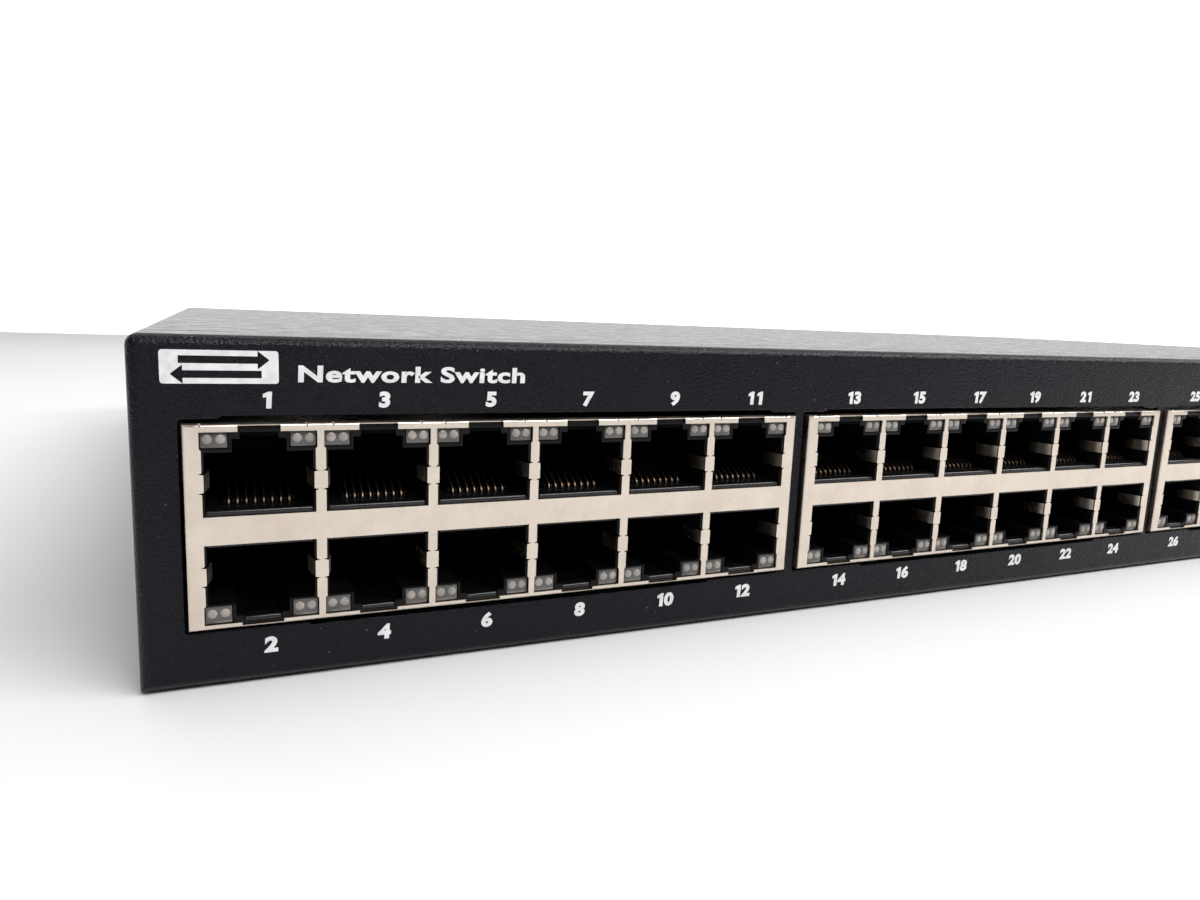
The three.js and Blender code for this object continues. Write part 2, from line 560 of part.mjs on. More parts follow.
// The D-shaped outline of the serial port, half as wide at the slanted sides' low end.
function dShape(halfWidth, halfHeight) {
  const { x, z } = REAR_CUTS.console;
  const slant = halfHeight * 0.35;
  const shape = new THREE.Shape();
  shape.moveTo(x - halfWidth, z + halfHeight);
  shape.lineTo(x - halfWidth + slant, z - halfHeight);
  shape.lineTo(x + halfWidth - slant, z - halfHeight);
  shape.lineTo(x + halfWidth, z + halfHeight);
  return shape;
}

function consoleShell() {
  const { x, z } = REAR_CUTS.console;
  const flange = slab([x - 15.4, x + 15.4], [REAR - 2.4, REAR - SHEET - 0.2], [z - 6.2, z + 6.2]);
  return flange.add(extruded(dShape(8.5, 4.2), 'y', [REAR - 2, REAR + 4]))
    .subtract(extruded(dShape(7.9, 3.7), 'y', [REAR - 4, REAR + 5]));
}

function consoleInsert() {
  const body = extruded(dShape(7.6, 3.4), 'y', [REAR - 9, REAR + 0.2]);
  const { x, z } = REAR_CUTS.console;
  const pins = range(9).map((i) => {
    const upper = i < 5;
    const px = x + (upper ? i - 2 : i - 6.5) * 2.77;
    return bar(0.5, 'y', [px, z + (upper ? 1.42 : -1.42)], [REAR - 1, REAR + 3.6], 8);
  });
  return joined([body, ...pins]);
}

// ---------------------------------------------------------------- fans
const FAN = { half: 20, depth: 20, bore: 18.8, hub: 10.5, low: HEIGHT / 2 - 20, rotorDepth: 14 };
const fanY = [REAR - SHEET - GAP - FAN.depth, REAR - SHEET - GAP];

function fanFrame(centre) {
  const mid = HEIGHT / 2;
  const frame = slab([centre - FAN.half, centre + FAN.half], fanY, [mid - FAN.half, mid + FAN.half])
    .subtract(bar(FAN.bore, 'y', [centre, mid], [fanY[0] - 1, fanY[1] + 1], 40));
  const motorPlate = bar(FAN.hub, 'y', [centre, mid], [fanY[1] - 3, fanY[1]], 24);
  const struts = [0, 1, 2].map((i) => {
    const strut = new THREE.BoxGeometry(2 * FAN.bore + 1, 2.4, 2.2);
    strut.rotateY((i * Math.PI) / 3);
    strut.translate(centre, fanY[1] - 1.4, mid);
    return solidFrom(strut);
  });
  return joined([frame, motorPlate, ...struts]);
}

// The impeller: a hub and seven blades, each pitched about its own radius.
function fanRotor(centre) {
  const mid = HEIGHT / 2;
  const blades = range(7).map((i) => {
    const blade = new THREE.BoxGeometry(FAN.bore - FAN.hub, 1.2, FAN.rotorDepth * 0.75);
    blade.rotateX(Math.PI / 5);
    blade.translate((FAN.bore + FAN.hub) / 2 - 1.2, 0, 0);
    blade.rotateZ((i * 2 * Math.PI) / 7);
    blade.rotateX(Math.PI / 2);
    blade.translate(centre, fanY[0] + 2 + FAN.rotorDepth / 2, mid);
    return solidFrom(blade);
  });
  const hub = bar(FAN.hub, 'y', [centre, mid], [fanY[0] + 1.5, fanY[0] + 1.5 + FAN.rotorDepth], 28);
  return joined([hub, ...blades]);
}

// ---------------------------------------------------------------- the assembly
add('front_panel', frontPanel(), FINISH.paint);
add('chassis_tray', chassisTray(), FINISH.paint);
add('top_cover', topCover(), FINISH.paint);
SIDE_SCREWS.forEach((y, i) => {
  add(`cover_screw_left_${i + 1}`, coverScrew(-1, y), FINISH.steel);
  add(`cover_screw_right_${i + 1}`, coverScrew(1, y), FINISH.steel);
});

range(JACK_GROUPS).forEach((g) => addJack(`jack_${g + 1}`, groupCentre(g), PORTS_ACROSS));
addJack('uplink_jack', UPLINK_CENTRE, 1);

add('sfp_cage', sfpCage(), FINISH.tin);
add('sfp_connector', sfpConnector(), FINISH.blackPlastic);

add('status_light_pipe', statusLightPipe(), FINISH.lens);
add('stack_button', stackButton(), FINISH.greyPlastic);
add('stack_switch', tactSwitch(STACK_BUTTON.x, STACK_BUTTON.z, FRONT + 4 + BUTTON_REST_GAP, 3), FINISH.blackPlastic);
add('reset_button', resetButton(), FINISH.greyPlastic);
add('reset_switch', tactSwitch(RESET.x, RESET.z, FRONT + 5 + RESET_TRAVEL + GAP, 2.6), FINISH.blackPlastic);

add('main_board', mainBoard(), FINISH.board);
const SWITCH_CHIPS = [[LEFT + 140, FRONT + 92], [LEFT + 270, FRONT + 92]];
SWITCH_CHIPS.forEach(([x, y], i) => {
  add(`switch_chip_${i + 1}`, chip(x, y, 31), FINISH.blackPlastic);
  add(`chip_heatsink_${i + 1}`, finnedHeatsink(x, y, 38, 14, 9), FINISH.aluminium);
});

add('supply_board', supplyBoard(), FINISH.board);
add('supply_transformer', supplyTransformer(), FINISH.yellowTape);
add('supply_capacitor', supplyCapacitor(), FINISH.blackPlastic);
add('supply_heatsink', supplyHeatsink(), FINISH.aluminium);
add('power_harness', powerHarness(), FINISH.blackPlastic);

add('ac_inlet', inletBody(), FINISH.blackPlastic);
INLET_BLADES.forEach((place, i) => add(INLET_BLADE_NAMES[i], inletBlade(place), FINISH.tin));
add('redundant_supply_connector', redundantSupplyConnector(), FINISH.blackPlastic);
add('console_port_shell', consoleShell(), FINISH.tin);
add('console_port_insert', consoleInsert(), FINISH.blackPlastic);

FAN_CENTRES.forEach((x, i) => {
  add(`fan_frame_${i + 1}`, fanFrame(x), FINISH.blackPlastic);
  add(`fan_rotor_${i + 1}`, fanRotor(x), FINISH.blackPlastic);
});

export default object;
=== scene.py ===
"""Looks for a 48-port rack-mount network switch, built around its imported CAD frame.

Shapes are worked out in millimetres in the part's own frame (+X along the front panel, +Y towards
the back, +Z up) and scaled to metres as each piece is made. Places come from the CAD nodes' boxes.
"""
import math

import bmesh
import bpy
from mathutils import Matrix, Vector


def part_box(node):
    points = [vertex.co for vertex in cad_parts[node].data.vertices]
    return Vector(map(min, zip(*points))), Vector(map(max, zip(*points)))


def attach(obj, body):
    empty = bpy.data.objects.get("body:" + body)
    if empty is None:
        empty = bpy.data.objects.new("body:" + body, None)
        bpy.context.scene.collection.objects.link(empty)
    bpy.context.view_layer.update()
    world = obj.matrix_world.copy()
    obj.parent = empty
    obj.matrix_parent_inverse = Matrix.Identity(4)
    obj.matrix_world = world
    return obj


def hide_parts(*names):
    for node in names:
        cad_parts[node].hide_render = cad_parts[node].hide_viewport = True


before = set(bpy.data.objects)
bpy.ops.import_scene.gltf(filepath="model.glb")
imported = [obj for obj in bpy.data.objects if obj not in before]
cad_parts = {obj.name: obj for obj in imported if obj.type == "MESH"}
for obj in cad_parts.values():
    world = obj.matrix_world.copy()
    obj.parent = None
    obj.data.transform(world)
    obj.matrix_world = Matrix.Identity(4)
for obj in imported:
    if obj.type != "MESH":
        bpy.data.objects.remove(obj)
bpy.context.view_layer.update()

MM = 0.001


def node_box(node):
    """A CAD node's lowest and highest corner, in millimetres."""
    low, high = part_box(node)
    return low / MM, high / MM


# ---------------------------------------------------------------- sizes, in millimetres
panel_low, panel_high = node_box("front_panel")
_, tray_high = node_box("chassis_tray")
cover_low, cover_high = node_box("top_cover")
LEFT, RIGHT = panel_low.x, panel_high.x
FRONT, REAR = panel_low.y, tray_high.y
TOP = panel_high.z - 0.3
SHEET = 1.0
BEND = 1.25
SIDE_BEND = 1.35         # outside radius of the long edges along the case's depth
RETURN = 12.0            # depth of the flanges behind the front and rear faces
BURR = 0.25              # soft edge that the powder coat leaves on cut sheet

PORT_PITCH = 13.97
PORT_WINDOW = 6.38       # half width of a port's window in its shield
SHIELD_MARGIN = 2.0
FOIL = 0.3
PORT_DEPTH = 14.5
HOUSING_DEPTH = 18.0
WIRES_PER_PORT = 8
WIRE_PITCH = 1.0
WIRE_RADIUS = 0.17

JACKS = {"jack_1": 6, "jack_2": 6, "jack_3": 6, "jack_4": 6, "uplink_jack": 1}

# ---------------------------------------------------------------- material helpers
def node_material(name):
    material = bpy.data.materials.new(name)
    material.use_nodes = True
    tree = material.node_tree
    return material, tree, tree.nodes["Principled BSDF"]


def link(tree, source, output, target, socket):
    tree.links.new(source.outputs[output], target.inputs[socket])


def fill(node, values):
    """Sets a node's sockets by name or number."""
    for socket, value in values.items():
        node.inputs[socket].default_value = value


def add_node(tree, kind, values=None):
    node = tree.nodes.new("ShaderNode" + kind)
    fill(node, values or {})
    return node


def add_noise(tree, scale, detail=2.0, roughness=0.5):
    """Noise in object space, with its scale in cycles per metre."""
    place = add_node(tree, "TexCoord")
    noise = add_node(tree, "TexNoise", {"Scale": scale, "Detail": detail, "Roughness": roughness})
    link(tree, place, "Object", noise, "Vector")
    return noise


def add_range(tree, source, output, low, high, from_low=0.35, from_high=0.65):
    """Spreads a value over a range."""
    spread = add_node(tree, "MapRange", {"From Min": from_low, "From Max": from_high,
                                         "To Min": low, "To Max": high})
    link(tree, source, output, spread, "Value")
    return spread


def add_mix(tree, factor, output, dark, light):
    """A colour between two, chosen by a factor."""
    mix = tree.nodes.new("ShaderNodeMix")
    mix.data_type = "RGBA"
    fill(mix, {"A": (*dark, 1), "B": (*light, 1)})
    link(tree, factor, output, mix, "Factor")
    return mix


def add_bump(tree, shader, height, output, strength, depth_mm):
    bump = add_node(tree, "Bump", {"Strength": strength, "Distance": depth_mm * MM})
    link(tree, height, output, bump, "Height")
    link(tree, bump, "Normal", shader, "Normal")


def coat(tree, shader, tint, colours, sheen, gloss):
    """Links a colour between two and a roughness in a range, each led by its own noise."""
    link(tree, add_mix(tree, tint, "Result", *colours), "Result", shader, "Base Color")
    link(tree, add_range(tree, sheen, "Fac", *gloss), "Result", shader, "Roughness")


def grained(name, dark, light, roughness, grain, metallic=0.0, bump=0.15, bump_mm=0.03, specular=0.5,
            patch=60.0, clear_coat=0.0):
    """A finish with a slow drift of colour, a fine grain in its relief, and uneven gloss."""
    material, tree, shader = node_material(name)
    slow = add_noise(tree, patch, 3)
    fine = add_noise(tree, grain, 3, 0.6)
    coat(tree, shader, add_range(tree, slow, "Fac", 0, 1), (dark, light), fine,
         (roughness * 0.85, roughness * 1.15))
    fill(shader, {"Metallic": metallic, "Specular IOR Level": specular, "Coat Weight": clear_coat})
    add_bump(tree, shader, fine, "Fac", bump, bump_mm)
    return material


def powder_coat():
    """Black powder coat: a glossy skin over a fine leathery relief, and a few specks of dust."""
    material, tree, shader = node_material("powder_coat")
    grain = add_noise(tree, 2900, 2, 0.55)
    broad = add_noise(tree, 260, 2, 0.5)
    dust = add_noise(tree, 2100, 0, 0.5)
    coat(tree, shader, add_range(tree, dust, "Fac", 0, 1, 0.83, 0.88),
         ((0.0040, 0.0035, 0.0064), (0.10, 0.096, 0.092)), broad, (0.22, 0.3))
    fill(shader, {"Specular IOR Level": 0.17})
    add_bump(tree, shader, grain, "Fac", 0.7, 0.22)
    return material


def tin_plate():
    """Bright tin plate on the jack shields: warm, faintly blotched, with soft rolling marks."""
    material, tree, shader = node_material("tin_plate")
    blotch = add_noise(tree, 170, 4, 0.6)
    place = add_node(tree, "TexCoord")
    stretch = add_node(tree, "Mapping", {"Scale": (60, 900, 2600)})
    rolling = add_node(tree, "TexNoise", {"Scale": 1.0, "Detail": 2.0})
    link(tree, place, "Object", stretch, "Vector")
    link(tree, stretch, "Vector", rolling, "Vector")
    coat(tree, shader, add_range(tree, blotch, "Fac", 0, 1), ((0.60, 0.52, 0.45), (0.72, 0.64, 0.555)),
         blotch, (0.24, 0.36))
    fill(shader, {"Metallic": 1.0})
    add_bump(tree, shader, rolling, "Fac", 0.12, 0.01)
    return material


def lamp_plastic(name, dark, light, roughness):
    """Clear moulded plastic over an unlit lamp: milky, with light spread under its surface."""
    material, tree, shader = node_material(name)
    cloud = add_noise(tree, 500, 2)
    colour = add_mix(tree, add_range(tree, cloud, "Fac", 0, 1), "Result", dark, light)
    link(tree, colour, "Result", shader, "Base Color")
    fill(shader, {"Roughness": roughness, "Subsurface Weight": 0.35, "Subsurface Radius": (0.6, 0.6, 0.6),
                  "Subsurface Scale": MM, "Coat Weight": 0.4, "Coat Roughness": 0.15})
    add_bump(tree, shader, cloud, "Fac", 0.05, 0.02)
    return material


def circuit_board():
    """Green solder mask over copper: a field of fine tracks that shows through as a lighter green."""
    material, tree, shader = node_material("circuit_board")
    place = add_node(tree, "TexCoord")
    tracks = add_node(tree, "TexBrick", {
        "Scale": 260, "Mortar Size": 0.05, "Color1": (0.006, 0.036, 0.016, 1),
        "Color2": (0.008, 0.046, 0.020, 1), "Mortar": (0.018, 0.085, 0.040, 1)})
    link(tree, place, "Object", tracks, "Vector")
    link(tree, tracks, "Color", shader, "Base Color")
    fill(shader, {"Roughness": 0.32})
    add_bump(tree, shader, tracks, "Fac", 0.2, 0.03)
    return material


PAINT = powder_coat()
TIN = tin_plate()
PLASTIC = grained("jack_plastic", (0.0014, 0.0013, 0.0016), (0.0024, 0.0023, 0.0026), 0.34, 2400,
                  bump=0.12, bump_mm=0.02, specular=0.16)
# A darker copy of the jack plastic: painted shade for the backs of the ports and the carriers behind their
# wires.
PAINTED_SHADE_PLASTIC = grained("painted_shade_plastic", (0.0007, 0.0006, 0.0008), (0.0012, 0.0011, 0.0013), 0.6, 2400,
                       specular=0.03)
# A lighter, glossier copy of the jack plastic: a painted highlight on the sills at the ports' mouths.
PAINTED_HIGHLIGHT_PLASTIC = grained("painted_highlight_plastic", (0.002, 0.002, 0.0025), (0.003, 0.003, 0.0035), 0.3, 2400,
                         bump=0.12, bump_mm=0.02, specular=0.5)
LENS = lamp_plastic("lamp_lens", (0.052, 0.049, 0.048), (0.08, 0.075, 0.072), 0.3)
LENS_DOT = lamp_plastic("lamp_dot", (0.21, 0.19, 0.17), (0.31, 0.28, 0.255), 0.3)
# Gold darkened far below bright gold plating: painted shade for the wires deep in the ports; the rear
# connectors' contacts take the same darkened gold.
SHADE_DARKENED_GOLD = grained("contact_gold", (0.055, 0.037, 0.025), (0.10, 0.07, 0.048), 0.34, 3000, metallic=1.0,
               bump=0.05)
INK = grained("printed_ink", (0.55, 0.55, 0.56), (0.66, 0.66, 0.66), 0.55, 1800, bump=0.25, bump_mm=0.02,
              patch=900, specular=0.2)
BOARD = circuit_board()
ALUMINIUM = grained("plain_aluminium", (0.55, 0.56, 0.57), (0.66, 0.67, 0.68), 0.35, 1500, metallic=1.0)
BLACK_ZINC = grained("black_zinc", (0.035, 0.035, 0.04), (0.07, 0.07, 0.075), 0.32, 2200, metallic=1.0)
NICKEL = grained("bright_nickel", (0.62, 0.60, 0.56), (0.72, 0.70, 0.66), 0.2, 1800, metallic=1.0, bump=0.05)
BUTTON_GREY = grained("button_plastic", (0.12, 0.125, 0.135), (0.15, 0.155, 0.165), 0.42, 1500)
CHIP = grained("chip_package", (0.012, 0.012, 0.012), (0.02, 0.02, 0.02), 0.6, 2500)
TAPE = grained("polyester_tape", (0.62, 0.40, 0.05), (0.74, 0.5, 0.09), 0.28, 700, clear_coat=0.4)
SLEEVE = grained("capacitor_sleeve", (0.01, 0.012, 0.03), (0.015, 0.018, 0.045), 0.3, 900, clear_coat=0.3)
HARNESS = grained("harness_sleeve", (0.008, 0.008, 0.008), (0.02, 0.02, 0.02), 0.5, 1400, bump=0.5,
                  bump_mm=0.1)


# ---------------------------------------------------------------- shape helpers
def ring_direction(loop, counter_clockwise):
    area = sum(a[0] * b[1] - b[0] * a[1] for a, b in zip(loop, loop[1:] + loop[:1]))
    return list(loop) if (area > 0) == counter_clockwise else list(reversed(loop))


# Columns that stand a shape drawn in its own XY plane along each axis of the part.
STAND = {
    "x": Matrix(((0, 0, 1), (1, 0, 0), (0, 1, 0))).to_4x4(),
    "y": Matrix(((1, 0, 0), (0, 0, -1), (0, 1, 0))).to_4x4(),
    "z": Matrix.Identity(4),
}


def curve_mesh(curve):
    holder = bpy.data.objects.new("curve", curve)
    bpy.context.scene.collection.objects.link(holder)
    mesh = bpy.data.meshes.new_from_object(holder)
    bpy.data.objects.remove(holder)
    bpy.data.curves.remove(curve)
    return mesh


def finished(part, name):
    """A bmesh as a mesh, with the bmesh let go."""
    mesh = bpy.data.meshes.new(name)
    part.to_mesh(mesh)
    part.free()
    return mesh


def about(middle, half):
    """The span that reaches as far each side of its middle."""
    return middle - half, middle + half


class Shape:
    """Closed solids collected into one mesh, in millimetres, each with a material number."""

    def __init__(self):
        self.bm = bmesh.new()

    def take(self, mesh, matrix, slot):
        """Adds a mesh, placed by a matrix, and removes the original."""
        part = bmesh.new()
        part.from_mesh(mesh)
        part.transform(matrix)
        bmesh.ops.remove_doubles(part, verts=part.verts, dist=1e-4)
        if matrix.determinant() < 0:
            bmesh.ops.reverse_faces(part, faces=part.faces)
        for face in part.faces:
            face.material_index = slot
        copy = finished(part, "part")
        self.bm.from_mesh(copy)
        bpy.data.meshes.remove(copy)
        bpy.data.meshes.remove(mesh)

    def prism(self, loops, axis, span, edge=0.0, slot=0, matrix=Matrix.Identity(4)):
        """Extrudes an outline and its holes. x loops are (y, z), y loops (x, z) and z loops (x, y)."""
        curve = bpy.data.curves.new("prism", "CURVE")
        curve.dimensions = "2D"
        curve.fill_mode = "BOTH"
        curve.extrude = (span[1] - span[0]) / 2 - edge
        curve.bevel_depth = edge
        curve.bevel_resolution = 1
        curve.offset = -edge
        for i, loop in enumerate(loops):
            points = ring_direction(loop, i == 0)
            spline = curve.splines.new("POLY")
            spline.points.add(len(points) - 1)
            for point, (a, b) in zip(spline.points, points):
                point.co = (a, b, 0, 1)
            spline.use_cyclic_u = True
        middle = (span[0] + span[1]) / 2
        shift = {"x": (middle, 0, 0), "y": (0, middle, 0), "z": (0, 0, middle)}[axis]
        self.take(curve_mesh(curve), matrix @ Matrix.Translation(shift) @ STAND[axis], slot)
        return self

    def block(self, x, y, z, radius=0.0, segments=2, slot=0, matrix=Matrix.Identity(4), soft=None):
        """A box with rounded edges: all of them, or those whose middle passes the soft test."""
        part = bmesh.new()
        bmesh.ops.create_cube(part, size=1)
        size = Vector((x[1] - x[0], y[1] - y[0], z[1] - z[0]))
        middle = Vector((x[0] + x[1], y[0] + y[1], z[0] + z[1])) / 2
        bmesh.ops.scale(part, vec=size, verts=part.verts)
        bmesh.ops.translate(part, vec=middle, verts=part.verts)
        if radius:
            edges = [e for e in part.edges
                     if soft is None or soft((e.verts[0].co + e.verts[1].co) / 2)]
            bmesh.ops.bevel(part, geom=edges, offset=radius, segments=segments, profile=0.5,
                            affect="EDGES", clamp_overlap=True)
        self.take(finished(part, "block"), matrix, slot)
        return self

    def rods(self, paths, radius):
        """Round wires along paths of points."""
        curve = bpy.data.curves.new("rods", "CURVE")
        curve.dimensions = "3D"
        curve.bevel_depth = radius
        curve.bevel_resolution = 1
        curve.use_fill_caps = True
        for path in paths:
            spline = curve.splines.new("POLY")
            spline.points.add(len(path) - 1)
            for point, place in zip(spline.points, path):
                point.co = (*place, 1)
        self.take(curve_mesh(curve), Matrix.Identity(4), 0)
        return self

    def lathe(self, profile, axis, centre, steps=32, slot=0):
        """Turns a profile of (radius, distance along the axis) about an axis through centre."""
        part = bmesh.new()
        points = [part.verts.new((r, 0, h)) for r, h in profile]
        edges = [part.edges.new(pair) for pair in zip(points, points[1:])]
        bmesh.ops.spin(part, geom=points + edges, angle=2 * math.pi, steps=steps, axis=(0, 0, 1),
                       cent=(0, 0, 0))
        bmesh.ops.remove_doubles(part, verts=part.verts, dist=1e-4)
        bmesh.ops.recalc_face_normals(part, faces=part.faces)
        self.take(finished(part, "lathe"), Matrix.Translation(centre) @ TURN[axis], slot)
        return self

    def mesh(self):
        made = bpy.data.meshes.new("shape")
        bmesh.ops.recalc_face_normals(self.bm, faces=self.bm.faces)
        self.bm.to_mesh(made)
        self.bm.free()
        return made


# Turns a lathe's own +Z onto an axis of the part, or onto its opposite.
TURN = {
    "+x": Matrix.Rotation(math.pi / 2, 4, "Y"),
    "-x": Matrix.Rotation(-math.pi / 2, 4, "Y"),
    "+y": Matrix.Rotation(-math.pi / 2, 4, "X"),
    "-y": Matrix.Rotation(math.pi / 2, 4, "X"),
    "+z": Matrix.Identity(4),
}


def evaluated(mesh, modifiers):
    """A mesh with modifiers applied: each is (type, settings)."""
    holder = bpy.data.objects.new("modified", mesh)
    bpy.context.scene.collection.objects.link(holder)
    for kind, settings in modifiers:
        modifier = holder.modifiers.new(kind, kind)
        for key, value in settings.items():
            setattr(modifier, key, value)
    graph = bpy.context.evaluated_depsgraph_get()
    result = bpy.data.meshes.new_from_object(holder.evaluated_get(graph), depsgraph=graph)
    bpy.data.objects.remove(holder)
    return result


def split(mesh, axis, places):
    """Adds edges across a mesh's faces where planes square to an axis cross it, so that none holds a hole."""
    part = bmesh.new()
    part.from_mesh(mesh)
    for place in sorted(set(places)):
        parts = part.verts[:] + part.edges[:] + part.faces[:]
        bmesh.ops.bisect_plane(part, geom=parts, plane_co=Vector(axis) * place, plane_no=axis)
    part.to_mesh(mesh)
    part.free()
    return mesh


def carve(mesh, cutter):
    """Cuts one closed mesh from another."""
    tool = bpy.data.objects.new("cutter", cutter)
    bpy.context.scene.collection.objects.link(tool)
    result = evaluated(mesh, [("BOOLEAN", {"operation": "DIFFERENCE", "solver": "EXACT", "object": tool})])
    bpy.data.objects.remove(tool)
    return result


def soften(mesh, width, segments=2, angle=50):
    """Rounds the sharp edges of a mesh."""
    return evaluated(mesh, [("BEVEL", {"width": width, "segments": segments, "limit_method": "ANGLE",
                                       "angle_limit": math.radians(angle), "use_clamp_overlap": True})])


def piece(name, shape, materials, body="case", nodes=(), smooth=32, weighted=False):
    """Makes a piece from a shape or a mesh in millimetres, and lets it ride on a CAD body."""
    mesh = shape.mesh() if isinstance(shape, Shape) else shape
    slots = [face.material_index for face in mesh.polygons]
    mesh.materials.clear()
    for material in materials:
        mesh.materials.append(material)
    mesh.polygons.foreach_set("material_index", slots)
    mesh.shade_smooth()
    mesh.set_sharp_from_angle(angle=math.radians(smooth))
    if weighted:
        mesh = evaluated(mesh, [("WEIGHTED_NORMAL", {"keep_sharp": True, "weight": 80})])
    mesh.transform(Matrix.Scale(MM, 4))
    mesh.name = name
    made = bpy.data.objects.new(name, mesh)
    bpy.context.scene.collection.objects.link(made)
    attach(made, body)
    if nodes:
        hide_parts(*nodes)
    return made


def rectangle(x, z, corner=0.0, steps=4):
    """A rectangle's outline, with round corners if a radius is given."""
    if not corner:
        return [(x[0], z[0]), (x[1], z[0]), (x[1], z[1]), (x[0], z[1])]
    centres = [(x[1] - corner, z[0] + corner, -90), (x[1] - corner, z[1] - corner, 0),
               (x[0] + corner, z[1] - corner, 90), (x[0] + corner, z[0] + corner, 180)]
    return [(cx + corner * math.cos(math.radians(start + 90 * i / steps)),
             cz + corner * math.sin(math.radians(start + 90 * i / steps)))
            for cx, cz, start in centres for i in range(steps + 1)]


def circle(x, z, radius, sides=24):
    return [(x + radius * math.cos(2 * math.pi * i / sides), z + radius * math.sin(2 * math.pi * i / sides))
            for i in range(sides)]


# ---------------------------------------------------------------- the case
CUTOUT = {"side": 0.35, "top": 0.65, "top_corner": 0.3, "bottom": 0.9, "bottom_corner": 0.5,
          "top_step": 4.2, "bottom_step": 14.3, "slope": 0.5}
CAGE_GAP = 0.3
STACK_HOLE, RESET_HOLE = 2.9, 0.9      # radii of the two button holes


def jack_cutout(name, count):
    """The stepped opening in the panel round one jack."""
    low, high = node_box(name + "_shield")
    left, right = low.x - CUTOUT["side"], high.x + CUTOUT["side"]
    near = CUTOUT["top_step"]
    step = CUTOUT["bottom_step"] if count > 1 else near
    foot, under = low.z - CUTOUT["bottom_corner"], low.z - CUTOUT["bottom"]
    head, over = high.z + CUTOUT["top_corner"], high.z + CUTOUT["top"]
    return [(left, foot), (left + step, foot), (left + step, under), (right - step, under),
            (right - step, foot), (right, foot), (right, head), (right - near, head),
            (right - near - CUTOUT["slope"], over), (left + near + CUTOUT["slope"], over),
            (left + near, head), (left, head)]


def pan(facing):
    """The front or rear pan: a face with flanges folded back all round it."""
    span = (FRONT, FRONT + RETURN) if facing < 0 else (REAR - RETURN, REAR)

    def shell(inset, bend, side_bend, past):
        part = bmesh.new()
        bmesh.ops.create_cube(part, size=1)
        y = [span[0] + (inset if facing < 0 else -past), span[1] + (past if facing < 0 else -inset)]
        size = (RIGHT - LEFT - 2 * inset, y[1] - y[0], TOP - 2 * inset)
        bmesh.ops.scale(part, vec=size, verts=part.verts)
        bmesh.ops.translate(part, vec=((LEFT + RIGHT) / 2, sum(y) / 2, TOP / 2), verts=part.verts)
        face_y = y[0] if facing < 0 else y[1]
        sides = [e for e in part.edges
                 if abs(e.verts[0].co.y - e.verts[1].co.y) > 1 and e.verts[0].co.z > TOP / 2]
        bmesh.ops.bevel(part, geom=sides, offset=side_bend, segments=4, profile=0.5, affect="EDGES")
        rim = [e for e in part.edges if all(abs(v.co.y - face_y) < 1e-3 for v in e.verts)]
        bmesh.ops.bevel(part, geom=rim, offset=bend, segments=6, profile=0.5, affect="EDGES")
        return finished(part, "pan")

    return carve(shell(0, BEND, SIDE_BEND, 0), shell(SHEET, BEND - SHEET, SIDE_BEND - SHEET * 0.8, 2))


def tongue(shape, facing):
    """The joggled strip behind a pan's top flange, which the cover slides over."""
    near = FRONT + RETURN if facing < 0 else REAR - RETURN
    side = 1 if facing < 0 else -1
    under = TOP - SHEET - 0.3
    for start, end, low, high in ((-6, 6, under - SHEET, under), (-6, -0.5, under - SHEET, TOP - SHEET)):
        shape.block((LEFT + 20, RIGHT - 20), sorted((near + side * start, near + side * end)), (low, high))


STATUS_PITCH_X, STATUS_PITCH_Z, STATUS_RADIUS = 5.2, 4.6, 1.1
status_low, status_high = node_box("status_light_pipe")
STATUS_LAMPS = [(status_low.x + 2.4 + column * STATUS_PITCH_X, status_high.z - 2.4 - row * STATUS_PITCH_Z)
                for column, rows in enumerate((5, 5, 4)) for row in range(rows)]
UNIT_LAMPS = STATUS_LAMPS[-4:]      # the last column, which is numbered


def face_place(node):
    """A node's middle, as seen from the front."""
    low, high = node_box(node)
    return (low.x + high.x) / 2, (low.z + high.z) / 2


def face_height(node):
    return face_place(node)[1]


def front_panel():
    through = (FRONT - 2, FRONT + SHEET + 2)
    cutter = Shape()
    for name, count in JACKS.items():
        cutter.prism([jack_cutout(name, count)], "y", through)
    low, high = node_box("sfp_cage")
    wide, tall = (low.x - CAGE_GAP, high.x + CAGE_GAP), (low.z - CAGE_GAP, high.z + CAGE_GAP)
    cutter.prism([rectangle(wide, tall, 0.5)], "y", through)
    for x, z in STATUS_LAMPS:
        cutter.prism([circle(x, z, STATUS_RADIUS)], "y", through)
    cutter.prism([circle(*face_place("stack_button"), STACK_HOLE, 32)], "y", through)
    cutter.prism([circle(*face_place("reset_button"), RESET_HOLE, 20)], "y", through)
    middles = [sum(Jack(name, count).x) / 2 for name, count in JACKS.items()]
    middles += [face_place(node)[0] for node in ("sfp_cage", "stack_button", "reset_button")]
    middles += [x for x, _ in STATUS_LAMPS]
    mesh = soften(carve(split(pan(-1), (1, 0, 0), middles), cutter.mesh()), BURR)
    shape = Shape()
    shape.bm.from_mesh(mesh)
    tongue(shape, -1)
    piece("panel_sheet", shape, [PAINT], nodes=["front_panel"], smooth=40, weighted=True)


VENTS = {"count": 14, "first": 100, "pitch": 8, "half": 2, "low": 20, "high": 36}
EAR_HOLES = [(22, 12), (22, 31), (54, 12), (54, 31)]      # distance from the front, height
EAR_HOLE_RADIUS = 1.6
SCREWS = ["cover_screw_left_1", "cover_screw_left_2", "cover_screw_right_1", "cover_screw_right_2"]


